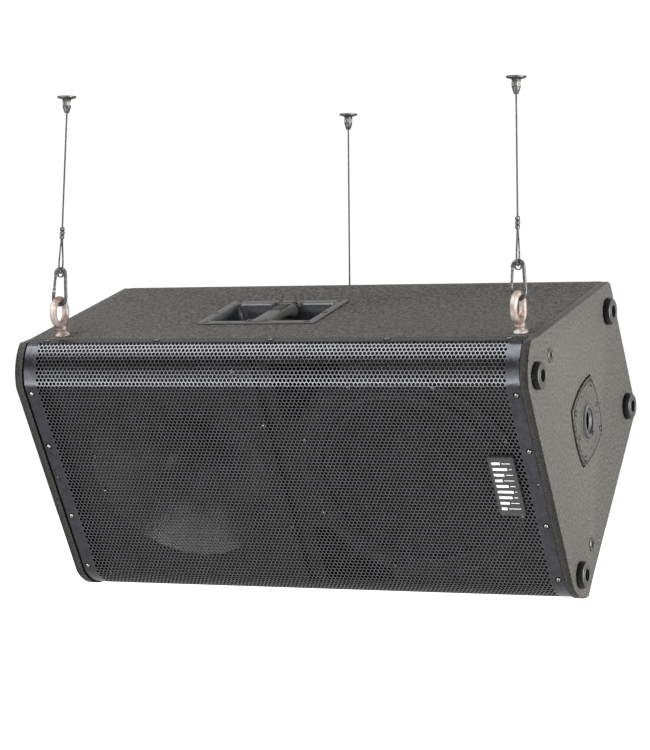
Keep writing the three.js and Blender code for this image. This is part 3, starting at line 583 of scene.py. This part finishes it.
def hanging_line(name):
    chain = chain_frame(name)
    top, lean = chain.translation, LEANS[name]
    strand_lay = 2 * pi / 16

    rope_end = (-CEILING_FITTING - GAP - top.z) / cos(lean) + 2
    steps = int((rope_end - FERRULE_START) / 1.6)
    line = [(0, 0, z) for z in np.linspace(FERRULE_START, rope_end, steps)]
    rope = piece(f"rope_{name}_strands", swept(line, ROPE, 24, 6, strand_lay), chain, rope_steel,
                 replaces=f"rope_{name}")

    bend = TOP_Z + 4 - ROPE - 4 * GAP
    side = [(0, 1.7, FERRULE_START + 14), (0, 1.75, FERRULE_START), (0, 3.0, 88), (0, 6.0, 66),
            (0, 6.0, bend + 8), (0, 5, bend + 3.2), (0, 3.4, bend + 0.6)]
    path = smooth_path([*side, (0, 0, bend), *[(x, -y, z) for x, y, z in reversed(side)]], 9)
    loop = piece(f"loop_{name}_strands", swept(path, ROPE, 18, 6, strand_lay), chain, rope_steel,
                 replaces=f"rope_loop_{name}")
    ferrule = piece(f"ferrule_{name}_crimped", ferrule_shape(), chain, zinc,
                    replaces=f"ferrule_{name}")

    at = moved(top.x + tan(lean) * (-CEILING_FITTING - top.z), top.y, 0)
    profile = [(0, -28), (3.3, -28), (4, -27.3), (6.6, -19.2), (7, -17.8), (7, -6.4), (7.8, -5.2),
               (14.8, -3.2), (15.7, -2.6), (16, -1.8), (16, -0.5), (15.5, 0), (0, 0)]
    nut = lofted([[(r * cos(a), r * sin(a), z) for a in np.arange(6) * pi / 3]
                  for r, z in [(7.4, -16), (8.0, -15.4), (8.0, -9.6), (7.4, -9)]])
    fitting = piece(f"ceiling_fitting_{name}_turned", merged([turned(profile, 40), nut]), at, zinc,
                    replaces=f"ceiling_fitting_{name}")

    middle = (BOW_Z + TOP_Z) / 2
    hook_path = smooth_path(
        [(hook_left_side(GATE_TOP_Z), 0, GATE_TOP_Z), *arc(HOOK_TOP, TOP_Z, 170, 0, 6),
         (-hook_left_side(middle), 0, middle), *arc(HOOK_BOTTOM, BOW_Z, 0, -175, 7),
         (hook_left_side(NOSE_Z), 0, NOSE_Z)], 6)
    piece(f"snap_hook_{name}_bent", swept(hook_path, HOOK_ROD, 16), chain, zinc,
          replaces=f"snap_hook_{name}")
    piece(f"hook_eyelet_{name}_grooved", eyelet_shape(), chain, zinc, replaces=f"hook_eyelet_{name}")

    low, high = NOSE_Z + 3 * GAP, GATE_TOP_Z - GAP
    gate_path = np.array([(hook_left_side(z), 0, z) for z in np.linspace(low, high, 24)])
    height = (gate_path[:, 2] - low) / (high - low)
    waist = np.where(height < 0.22, 2.6, 2.15)
    waist[np.abs(height - 0.24) < 0.04] = 1.7
    waist[height > 0.9] = 2.6
    gate = swept(gate_path, waist, 14)
    pins = [placed(turned([(0, -3.1), (0.8, -3.1), (1.1, -2.8), (1.1, 2.8), (0.8, 3.1), (0, 3.1)], 14),
                   moved(hook_left_side(z), 0, z) @ TO_Y) for z in (low + 2.2, high - 2.2)]
    piece(f"hook_gate_{name}_sprung", merged([gate, *pins]), chain, zinc, body=f"gate_{name}",
          replaces=f"hook_gate_{name}")


def eyebolt(name):
    ring_points, ring_faces = [], []
    around, across = 72, 24
    for i in range(around):
        a = 2 * pi * i / around
        thick = EYE_SECTION * (1.0 + 0.10 * (max(0.0, -cos(a)) ** 3))
        for j in range(across):
            b = 2 * pi * j / across
            r = EYE_RADIUS - (thick - EYE_SECTION) + thick * cos(b) * 0.985
            ring_points.append((thick * sin(b) * 1.04, r * sin(a), EYE_HEIGHT + r * cos(a)))
            ring_faces.append((i * across + j, i * across + (j + 1) % across,
                               (i + 1) % around * across + (j + 1) % across, (i + 1) % around * across + j))
    neck = turned([(0, -30), (4.6, -30), (5, -29.4), (5, GAP), (11.4, GAP), (11.8, 0.7), (11.8, 2.2),
                   (11.2, 3.2), (9.0, 4.6), (7.6, 6.4), (7.1, 8.2), (7.6, 9.8), (8.3, 11.4), (8.2, 13.2),
                   (7.2, 15.2), (6.0, 18.4), (0, 18.4)], 48)
    shapes = [(ring_points, [face[::-1] for face in ring_faces]), neck]
    parts = []
    for i, (points, faces) in enumerate(shapes):
        mesh = bpy.data.meshes.new("part")
        mesh.from_pydata([tuple(p) for p in points], [], faces)
        parts.append(added(f"part_{i}", mesh))
    joint = parts[0].modifiers.new("join", "BOOLEAN")
    joint.operation, joint.solver, joint.object = "UNION", "EXACT", parts[1]
    bm = bmesh.new()
    bm.from_object(parts[0], bpy.context.evaluated_depsgraph_get())
    for part in parts:
        bpy.data.objects.remove(part)
    piece(f"eyebolt_{name}_forged", taken(bm), EYE_FRAMES[name], forged, replaces=f"eyebolt_{name}",
          crease=50)


camera()
for rope_name in LEANS:
    hanging_line(rope_name)
    eyebolt(rope_name)
studio()
floor()

# ---------- grille ----------

CURVE_RADIUS = hypot(FRONT_EDGE, FRONT_HALF - CREASE) / (2 * sin((CREASE_END - CREASE_START) / 2))
CURVE_LENGTH = CURVE_RADIUS * (CREASE_END - CREASE_START)
SHEET_HALF = CREASE + CURVE_LENGTH + GRILLE_TAIL  # half the sheet's width, measured along its section


def grille_point(along, inset):
    """Where a distance along the grille's section from its middle lies: depth, height, and the way out."""
    sign, run = (1 if along >= 0 else -1), abs(along)
    if run <= CREASE:
        return inset, sign * run
    slope = CREASE_START + min((run - CREASE) / CURVE_RADIUS, CREASE_END - CREASE_START)
    depth = CURVE_RADIUS * cos(CREASE_START) - (CURVE_RADIUS - inset) * cos(slope)
    height = CREASE - CURVE_RADIUS * sin(CREASE_START) + (CURVE_RADIUS - inset) * sin(slope)
    height += GRILLE_RISE * depth / FRONT_EDGE
    beyond = run - CREASE - CURVE_LENGTH
    if beyond > 0:
        depth += beyond * cos(TAPER)
        height -= beyond * sin(TAPER)
    return depth, sign * height


def grille_sheet(start, end):
    """The part of the sheet between two lengths: hexagon cells, with a hole in each cell of the field."""
    row_pitch = HOLE_PITCH * sin(pi / 3)
    cell = HOLE_PITCH / (2 * cos(pi / 6))
    ways = [(cos(a), sin(a)) for a in radians(30) + np.arange(6) * pi / 3]
    index, points, faces = {}, [], []

    def corner(x, s):
        key = (round(x * 20), round(s * 20))
        if key not in index:
            index[key] = len(points)
            points.append((x, s))
        return index[key]

    rows = int(SHEET_HALF / row_pitch) + 1
    columns = int(GRILLE_END / HOLE_PITCH) + 1
    for row in range(-rows, rows + 1):
        s = row * row_pitch
        for column in range(-columns, columns + 1):
            x = (column + 0.5 * (row % 2)) * HOLE_PITCH
            if not start <= x < end or abs(s) > SHEET_HALF or abs(x) > GRILLE_END:
                continue
            outer = [corner(x + cell * u, s + cell * v) for u, v in ways]
            if abs(x) > HOLE_FIELD[0] or abs(s) > HOLE_FIELD[1]:
                faces.append(tuple(outer))
                continue
            inner = len(points)
            points.extend((x + HOLE_RADIUS * u, s + HOLE_RADIUS * v) for u, v in ways)
            faces.extend((outer[i], outer[(i + 1) % 6], inner + (i + 1) % 6, inner + i) for i in range(6))
    edges = {}
    for face in faces:
        for a, b in zip(face, face[1:] + face[:1]):
            edges[(a, b)] = (b, a) not in edges
            if (b, a) in edges:
                edges[(b, a)] = False
    rim = [edge for edge, open_edge in edges.items() if open_edge]
    for a in {i for edge in rim for i in edge}:  # the outermost cells are drawn out to the sheet's edges
        x, s = points[a]
        x = GRILLE_END * np.sign(x) if abs(x) > GRILLE_END - 0.62 * HOLE_PITCH else x
        s = SHEET_HALF * np.sign(s) if abs(s) > SHEET_HALF - 0.8 * HOLE_PITCH else s
        points[a] = (x, s)
    count = len(points)
    solid = []
    for inset in (0.0, GRILLE_SKIN):
        for x, s in points:
            depth, height = grille_point(s, inset)
            solid.append((x, depth, height))
    skin = list(faces)  # the front face comes first
    skin += [tuple(i + count for i in reversed(face)) for face in faces]
    skin += [(b, a, a + count, b + count) for a, b in rim]
    return (solid, skin), len(faces)


# from this depth on, the sheet takes the darker tail copy of its steel, painted shade
TAIL_SHADE_FROM = FRONT_EDGE - 3  # depth at which the sheet lies on the long sides
GRILLE_PARTS = ((-500, -144), (-144, 144), (144, 500))  # from and to along the cabinet


for part, (from_x, to_x) in enumerate(GRILLE_PARTS, 1):
    sheet, front_faces = grille_sheet(from_x, to_x)
    sheet = piece(f"grille_perforated_{part}", sheet, CABINET, grille_steel, replaces="grille")

    def sheet_finish(place, face, front=front_faces):
        """Painted shade: the holes' walls and the back take the near-black shade finish, the plain cells
        round the field take a darker copy of the steel, and the tail on the long sides a darker copy still.
        """
        if face.index >= front:
            return 1
        if face.loop_total < 6:
            return 0
        return 3 if place.y > TAIL_SHADE_FROM else 2

    refinish(sheet, CABINET, (painted_shade, shaded_flange_steel, shaded_tail_steel), sheet_finish)


def groove(sign):
    """A dark strip of painted shade in the gap between the grille's end and the end panel, along the whole
    section.
    """
    rings = []
    for s in np.unique(np.concatenate([np.linspace(-SHEET_HALF, SHEET_HALF, 60), (-CREASE, CREASE)])):
        (y, z), (deep_y, deep_z) = grille_point(s, 0.7), grille_point(s, 1.3)
        near, far = sign * (GRILLE_END + 0.05), sign * (INNER_END - 0.05)
        rings.append([(near, y, z), (far, y, z), (far, deep_y, deep_z), (near, deep_y, deep_z)])
    return lofted(rings)


piece("grille_end_gap_shade", merged([groove(-1), groove(1)]), CABINET, painted_shade)


# ---------- screws ----------

def screw_head(radius, high, socket=0.42):
    """A domed head with a six-sided socket."""
    hexagon = [socket * radius * (1 + 0.12 * (i % 2)) for i in range(12)]
    angles = np.arange(24) * pi / 12
    hole = np.interp(np.arange(24) / 2, np.arange(13), [*hexagon, hexagon[0]])
    dome = [(radius, 0), (radius, 0.25), (0.9 * radius, 0.62), (0.68 * radius, 0.9)]
    well = [(1.06 * hole, 1), (hole, 0.94), (0.9 * hole, 0.35)]
    return lofted([ring_at(r, share * high, angles) for r, share in dome + well])


def washer(radius, inside, high):
    return turned([(inside, 0), (radius, 0), (radius, 0.6 * high), (radius - 0.3, high), (inside + 0.3, high),
                   (inside, 0.7 * high)], 28)


SIDES = (-1, 1)


def screws(name, places, matrix, radius, high, socket=0.42, shade_ring=1.42, metal=screw_steel):
    """Heads at places in a frame whose z points out of the face, each in a ring of painted shade."""
    spots = [moved(*place) for place in places]
    piece(f"{name}_screws", copies(screw_head(radius, high, socket), spots), matrix, metal)
    shade_rings = copies(washer(radius * shade_ring, radius * 0.9, 0.5), spots)
    piece(f"{name}_screw_shade_rings", shade_rings, matrix, painted_shade)


FRONT = CABINET @ spun(pi / 2, "X")  # x along the cabinet, y up the front, z out of the grille
BACK = CABINET @ moved(0, AMP_FACE, 0) @ spun(pi, "Z") @ spun(pi / 2, "X")
END = CABINET @ moved(END_FACE, 0, 0) @ spun(pi / 2, "Y")
# END: x points down the front (minus z), y to the back, z out of the end

screws("grille_flange", [(sx * 425.5, z, 0) for sx in SIDES for z in (-175.5, -71, 71, 175.5)], FRONT, 3.7,
       2.2)
screws("grille_pin", [(sx * 428, 8.5, 0) for sx in SIDES], FRONT, 1.4, 0.8, 0.3, shade_ring=1.6)
EDGE_SCREWS = (-405, -202, 2, 204, 408)
EDGE_SCREW_DEPTH = 12
for name, depth, side in (("upper_edge", EDGE_SCREW_DEPTH, HANDLE_SIDE),
                          ("lower_edge", -EDGE_SCREW_DEPTH, PLAIN_SIDE)):
    screws(name, [(x, depth, GRILLE_PROUD) for x in EDGE_SCREWS], side, 5.0, 0.8, shade_ring=1.2)

# a thin dark strip along the grille's edges on the long sides: a painted shade line
edge_shade_strip = block((2 * GRILLE_END, 3.2, 0.6), (0, (GRILLE_TAIL + 1.0) / cos(TAPER) + 1.2, 0.35), 0.2)
piece("grille_edge_shade_strip_upper", edge_shade_strip, HANDLE_SIDE, painted_shade)
piece("grille_edge_shade_strip_lower", placed(edge_shade_strip, spun(pi, "Z")), PLAIN_SIDE, painted_shade)

# ---------- badge: a plain plate with a generic pattern of level bars ----------

BADGE_X, BADGE_Z, BADGE_HALF = 376, 7.5, (22, 55)


def badge():
    half_x, half_y = BADGE_HALF
    rings = [rounded_ring(half_x - inset, half_y - inset, corner, z) for inset, corner, z in
             ((0, 2, 0.3), (0, 2, 4.2), (0.8, 1.6, 5.0), (2.2, 1.2, 5.0), (2.6, 1.0, 4.5))]
    at = FRONT @ moved(BADGE_X, BADGE_Z, 0)
    piece("badge_plate", lofted(rings), at, badge_metal, replaces="badge")
    bars = []
    for i, reach in enumerate((9, 15, 22, 26, 20, 12, 17, 24, 14)):
        y, rest = -43 + 10.75 * i, 28.5 - reach
        bars.append(block((reach, 4.6, 0.5), (-16 + reach / 2, y, 4.7), 0.2))
        bars.append(block((rest, 1.1, 0.4), (-13 + reach + rest / 2, y, 4.65), 0.15))
    piece("badge_level_bars", merged(bars), at, badge_pale)


badge()

# ---------- cabinet panels ----------

def on_outer_rim(middle):
    """The outline edges of an end panel's outer face, and not its holes."""
    y, z = middle.y, abs(middle.z)
    on_face = abs(abs(middle.x) - LENGTH / 2) < 0.5
    near_hole = hypot(y - POLE_Y, z) < 45 or hypot(y - RIGGING_Y, z - RIGGING_Z) < 20
    return on_face and not near_hole


def end_panel_finish(place, face):
    """Painted shade: a darker copy of the paint on the front edges, and the near-black shade finish on the
    inner face, which shows in the groove beside the grille.
    """
    if abs(face.normal.x) < 0.4 and face.normal.y < 0.2:
        return 2
    return abs(place.x) < INNER_END + 0.5


def on_rear_rim(middle):
    return middle.y > DEPTH - 8 and abs(middle.z) > 100 and abs(middle.x) < 435


for node in ("horn_end_panel", "pole_end_panel"):
    panel = piece(f"{node}_painted", softened(node, 1.8, 4, on_outer_rim), CABINET, end_paint,
                  replaces=node)
    refinish(panel, CABINET, (painted_shade, shaded_edge_paint), end_panel_finish)
piece("rear_panel_painted", softened("rear_panel", 2.2, 4, on_rear_rim), CABINET, paint,
      replaces="rear_panel")
for node in ("handle_side_panel", "plain_side_panel"):
    finish_node(node, paint)

# ---------- feet and rigging inserts on the pole end ----------

FOOT_PROFILE = [(0, 0), (21.2, 0), (22, 0.8), (22, 5.6), (21.6, 6.8), (20.2, 10.2), (19.4, 11.1),
                (18.4, 11.5), (14.6, 11.5), (14.0, 10.9), (12.6, 10.9), (12.0, 11.5), (10.0, 11.5),
                (9.0, 10.8), (6.6, 5.2), (6.0, 4.0), (0, 4.0)]
FEET = ((33, 190), (33, -190), (374, 93), (374, -93))


def foot_finish(place, face):
    """A paler face, and painted shade in the well round the screw."""
    return 2 if hypot(place.x, place.y) < 9.6 else place.z > 10.2


for number, (y, z) in enumerate(FEET, 1):
    spot = moved(-z, y, 0)
    foot = piece(f"foot_{number}_moulded", turned(FOOT_PROFILE, 64), END @ spot, rubber,
                 replaces=f"foot_{number}")
    refinish(foot, END @ spot, (rubber_face, painted_shade), foot_finish)
screws("foot", [(-z, y, 4) for y, z in FEET], END, 4.6, 2.6, 0.5, shade_ring=1.2, metal=zinc)

for number, z in enumerate((RIGGING_Z, -RIGGING_Z), 1):
    spot = moved(-z, RIGGING_Y, 0)
    profile = [(0, -26), (7, -26), (7.3, -25.6), (7.3, 0), (11.2, 0), (11.5, 0.3), (11.5, 1.0), (11.0, 1.5),
               (8.2, 1.5), (7.9, 1.2), (6.8, 1.2), (6.5, 1.5), (5.0, 1.5)]
    for turn in range(8):
        profile += [(4.75, 0.4 - turn * 2.4), (4.35, -0.8 - turn * 2.4)]
    piece(f"rigging_insert_{number}_threaded", turned([*profile, (4.3, -20), (0, -20)], 48), END @ spot,
          zinc, replaces=f"rigging_insert_{number}")
    # a dark disk deep in each insert: painted shade at the bottom of the hole
    piece(f"rigging_hole_shade_{number}", turned([(0, -12), (4.2, -12), (4.2, -9.4), (0, -9.4)], 20), END @ spot,
          painted_shade)

# ---------- pole socket ----------

POLE = END @ moved(0, POLE_Y, 0)


def on_plate_face(middle):
    return middle.x > END_FACE + 2.5 and hypot(middle.y - POLE_Y, middle.z) > 40


piece("pole_cup_plate_moulded", softened("pole_cup_plate", 1.1, 3, on_plate_face), CABINET, end_paint,
      replaces="pole_cup_plate")
screws("pole_plate", [(sx * 43.5, sy * 43.5, 3) for sx in SIDES for sy in SIDES], POLE, 3.6, 1.6,
       metal=zinc)
screws("pole_plate_side", [(0, sy * 49, 3) for sy in SIDES], POLE, 2.8, 1.1, metal=zinc)


def plate_ribs():
    """Short raised ribs along two sides of the plate, and a rim round the insert."""
    shapes = []
    for side in (pi, 0):
        for i in range(6):
            turn = spun(side + radians(-20 + 8 * i), "Z")
            shapes.append(placed(block((1.3, 4.8, 0.8), (46.5, 0, 3.3), 0.25), turn))
    shapes.append(turned([(29.6, 2.9), (33.4, 2.9), (33.2, 3.7), (32.6, 4.2), (30.6, 4.2), (29.8, 3.7)], 96))
    return merged(shapes)


def plate_shadow():
    """The dark line round the plate on the panel's face, and the line near the plate's own edge."""
    plate, _ = unsoftened("pole_cup_plate", POLE)
    rim = sorted({(round(x, 1), round(y, 1)) for x, y, z in plate if z > 2 and hypot(x, y) > 40},
                 key=lambda p: atan2(p[1], p[0]))
    outside, inside = (
        belt([[(x * s, y * s, z) for x, y in rim] for s, z in section])
        for section in (((0.99, 0.05), (1.045, 0.05), (1.045, 0.45), (0.99, 0.45)),
                        ((0.935, 2.8), (0.96, 2.8), (0.96, 3.12), (0.935, 3.12))))
    return merged([outside, inside])


piece("pole_plate_ribs", plate_ribs(), POLE, moulding)
piece("pole_plate_shadow", plate_shadow(), POLE, painted_shade)


def at_socket_mouth(middle):
    return middle.x > END_FACE - 4


socket = piece("pole_socket_cast", softened("pole_cup_socket", 0.8, 3, at_socket_mouth), CABINET, alloy,
               body="pole_socket", replaces="pole_cup_socket")
# the bore's inner faces take the shade finish: painted shade inside the socket
refinish(socket, POLE, (painted_shade,), lambda place, face: place.z < -1.5 and hypot(place.x, place.y) < 20)
thread = [(18.0, -70.0), (18.0, -3.0)]
for turn in range(16):
    height = -4.2 - 4.0 * turn
    thread += [(17.95, height + 1.4), (17.6, height + 0.6), (17.6, height - 0.6), (17.95, height - 1.4)]
# the liner's threads take the shade finish: painted shade inside the bore
piece("pole_socket_liner", turned(thread, 64), POLE, painted_shade, body="pole_socket")

# ---------- handle ----------

WELL = HANDLE_SIDE @ moved(HANDLE_X, HANDLE_ALONG, 0)


def handle_cup():
    """The cup's underside from its bottom up to the rim, then its upper side down to the bottom again."""
    steps = [(90.5, 57, 5, 0.3), (106.5, 73, 4, 0.3), (106.5, 73, 4, 1.9), (106.2, 72.7, 4, 2.5),
             (105.6, 72.1, 3.6, 2.8), (94.6, 61.1, 7, 2.8), (93.2, 59.7, 7, 2.4), (91.2, 57.6, 8, 1.4),
             (89.2, 55.8, 9, -1.5), (86.5, 53.8, 12, -14), (83.0, 51.0, 16, -32), (78.5, 46.5, 20, -44),
             (70.0, 39.0, 22, -51.5), (56.0, 26.0, 20, -54.6), (30.0, 8.0, 7, -55.0)]
    under = [(30.0, 8.0, 7, -58.0), (60.0, 30.0, 20, -57.6), (76.0, 44.0, 20, -54.0), (84.5, 51.5, 16, -45),
             (89.5, 56.2, 10, -20)]
    return lofted([rounded_ring(*step) for step in under + steps])


def handle_bar():
    """The grip: it widens towards both ends and curves down into the pockets there."""
    rings = []
    for t in np.linspace(-1, 1, 33):
        flare = abs(t) ** 3
        half = 14.2 + 7.0 * flare
        top = 3.6 - 0.4 * flare
        low = -13.5 - 12.0 * flare
        section = []
        for a in 2 * pi * np.arange(32) / 32:
            u, v = cos(a), sin(a)
            u = np.sign(u) * abs(u) ** 0.55
            v = np.sign(v) * abs(v) ** 0.55
            section.append((half * u, 57.2 * t, (top + low) / 2 + (top - low) / 2 * v))
        rings.append(section)
    ends = [block((38, 11.5, 1.6), (0, sy * 61.4, 3.5), 0.6, 3) for sy in SIDES]
    return merged([lofted(rings), *ends])


flange_shadow = ((106.4, 72.9, 4, 0.05), (107.9, 74.6, 4.6, 0.05), (107.9, 74.6, 4.6, 0.5),
                 (106.4, 72.9, 4, 0.5))
piece("handle_shadow", belt([rounded_ring(*step) for step in flange_shadow]), WELL, painted_shade)
cup = piece("handle_cup_moulded", handle_cup(), WELL, moulding, replaces="handle_cup", crease=38)
# the pocket below the rim takes the darker copy: painted shade
refinish(cup, WELL, (shaded_pocket_moulding,), lambda place, face: place.z < 0)
piece("handle_bar_grip", handle_bar(), WELL, moulding, replaces="handle_bar", crease=48)
HANDLE_SCREWS = ((-99.5, -9), (-92, -66.5), (98.5, -9), (92, -66.5), (-92, 66.5), (92, 66.5))
screws("handle_rim", [(x, y, 2.8) for x, y in HANDLE_SCREWS], WELL, 3.0, 1.2, metal=zinc)
screws("handle_bar_end", [(sx * 13, sy * 62.5, 4.2) for sx in SIDES for sy in SIDES], WELL, 2.8, 1.1,
       metal=zinc)
ridges = [block((7.5, 2.6, 1.2), (-9 + 9 * column, 8 + 8.5 * row, 3.7), 0.5)
          for column in range(3) for row in range(5)]
piece("handle_bar_ridges", merged(ridges), WELL, rubber)
clips = [block((6.5, 7, 9), (sx * 24, 55.5, 0.5), 1.0) for sx in SIDES]
ribs = [block((1.8, 100, 26), (sx * 44, 0, -38), 0.6) for sx in SIDES]
piece("handle_clips", merged(clips + ribs), WELL, moulding)

# ---------- drivers behind the grille ----------

WOOFER = CABINET @ moved(WOOFER_X, 0, 0) @ TO_Y
HORN = CABINET @ moved(HORN_X, 0, 0) @ TO_Y


def cone_shape():
    dome = [(57 * i / 8, 62 + 17 * (i / 8) ** 2) for i in range(9)]
    flank = [(57 + 85 * t, 79 - 55.1 * (0.8 * t + 0.2 * t ** 2) - 1.3 * sin(6 * pi * t) ** 2)
             for t in np.linspace(0.04, 1, 25)]
    inside = [(r, y + 1.8) for r, y in reversed(dome[:7])]
    return turned([*dome, *flank, (149.5, 23.9), (149.5, 25.4), (143.5, 26.8), (51, 87), (51, 173),
                   (49.5, 173), (49.5, 79.5), *inside], 96)


def surround_shape():
    def roll(radius):
        return [(159.4 + radius * cos(a), 22.4 - radius * sin(a)) for a in np.linspace(0, pi, 15)]
    return turned([(180, 23.4), (180, 22.4), *roll(9.9), (142, 22.4), (142, 23.5), (150.6, 23.5),
                   *reversed(roll(8.6)), (168.2, 23.4)], 96)


piece("woofer_cone_ribbed", cone_shape(), WOOFER, paper, body="cone", replaces="woofer_cone")
piece("woofer_surround_roll", surround_shape(), WOOFER, roll_rubber,
      replaces="woofer_surround")


HORN_MOUTH_RADIUS, HORN_PLATE_FACE = 163.5, 22.5


# the faces inside the flare take the lighter copy: a painted highlight
def in_flare(place, face):
    return place.z > HORN_PLATE_FACE and hypot(place.x, place.y) < HORN_MOUTH_RADIUS


horn = piece("horn_moulded", unsoftened("horn", HORN), HORN, horn_plastic, replaces="horn")
refinish(horn, HORN, (lit_flare_plastic,), in_flare)
for node, material in (("front_baffle", wood), ("cross_brace", wood),
                       ("port_tube_upper", horn_plastic), ("port_tube_lower", horn_plastic),
                       ("woofer_basket", frame_enamel),
                       ("woofer_magnet", magnet_steel), ("woofer_spider", paper),
                       ("compression_driver", magnet_steel), ("amplifier_chassis", alloy)):
    finish_node(node, material)
HORN_SCREWS = ((-30, 100), (-30, -100), (-360, -35), (-360, 35), (-60, 205), (-60, -205), (-400, 205),
               (-400, -205))
screws("horn_plate", [(x, z, -21.7) for x, z in HORN_SCREWS], FRONT, 4, 2)
WOOFER_SCREW_CIRCLE = 187
screws("woofer_frame", [(WOOFER_X + WOOFER_SCREW_CIRCLE * cos(a), WOOFER_SCREW_CIRCLE * sin(a), -23.7)
                        for a in np.arange(8) * pi / 4 + pi / 8], FRONT, 4.2, 2.4)

# ---------- amplifier on the rear panel ----------

def amp_edges(middle):
    return middle.y > AMP_FACE + 2.5


piece("amplifier_panel_cast", softened("amplifier_panel", 0.7, 2, amp_edges), CABINET, alloy,
      replaces="amplifier_panel")
screws("amplifier", [(-AMP_X + sx * 143, sy * 91, 3) for sx in (-1, 0, 1) for sy in SIDES]
       + [(-AMP_X + sx * 143, 0, 3) for sx in SIDES], BACK, 3.4, 2.0)


def inlet_shape():
    wall = [rounded_ring(*step) for step in
            ((17, 13, 2.5, -22), (17, 13, 2.5, 3.4), (16.4, 12.4, 2.2, 4), (13.6, 9.6, 2.2, 4),
             (13, 9, 2.6, 3.4), (13, 9, 2.6, -17.6))]
    pins = [block((2.0, 5.0, 15), (x, y, -10.5), 0.3) for x, y in ((-6.5, -1.5), (0, 2.2), (6.5, -1.5))]
    return merged([lofted(wall), *pins])


piece("mains_inlet_moulded", inlet_shape(), BACK @ moved(-75, CONTROL_Z, 0), moulding,
      replaces="mains_inlet")
for number, x in enumerate((150, 195), 1):
    at = BACK @ moved(-x, CONTROL_Z, 0)
    profile = [(0, -22), (13, -22), (13, 3.3), (12.3, 4), (10.7, 4), (10, 3.3), (10, -3), (9.2, -4),
               (9.2, -15.4), (8.6, -16), (3.4, -16), (3.0, -14), (2.2, -14), (2.0, -16), (0, -16)]
    piece(f"input_socket_{number}_moulded", turned(profile, 56), at, moulding,
          replaces=f"input_socket_{number}")
    contact = turned([(0.5, -16), (1.3, -16), (1.3, -8.6), (0.9, -8), (0.5, -8.4)], 14)
    spots = [moved(5.8 * cos(a), 5.8 * sin(a), 0) for a in radians(90) + np.arange(3) * pi * 2 / 3]
    piece(f"input_contacts_{number}", copies(contact, spots), at, screw_steel)
for number, x in enumerate((240, 275), 1):
    at = BACK @ moved(-x, CONTROL_Z, 0)
    angles = 2 * pi * np.arange(72) / 72
    grip = 1 - 0.05 * (np.arange(72) % 4 < 2)
    rings = []
    for r, z, ridged in [(3, -12, 0), (3, 4.0, 0), (7.9, 4.0, 0), (8, 4.4, 0), (8, 6.2, 0), (7.7, 6.6, 1),
                         (7.3, 15.6, 1), (6.7, 16.8, 0), (6.0, 17.0, 0), (5.6, 16.7, 0)]:
        rings.append(ring_at(r * (grip if ridged else 1.0), z, angles))
    piece(f"level_knob_{number}_grip", lofted(rings), at, moulding, body=f"knob_{number}",
          replaces=f"level_knob_{number}")
    piece(f"level_knob_{number}_pointer", block((1.1, 4.4, 0.6), (0, 3.2, 16.8), 0.2), at, badge_pale,
          body=f"knob_{number}")
    tick = block((0.9, 2.6, 0.5), (0, 12.4, 3.2), 0.15)
    turns = [spun(radians(-150 + 30 * i), "Z") for i in range(11)]
    piece(f"level_ticks_{number}", copies(tick, turns), at, badge_pale)


def rocker_edges(middle):
    return middle.y > AMP_FACE


piece("power_switch_rocker", softened("power_switch", 0.6, 3, rocker_edges), CABINET, moulding, body="switch",
      replaces="power_switch")
lamp = turned([(0, 3), (2.2, 3), (2.2, 4.1), (1.9, 4.8), (1.0, 5.3), (0, 5.4)], 24)
piece("status_lamps", copies(lamp, [moved(x, CONTROL_Z + 24, 0) for x in (-222, -232)]), BACK, lamp_green)
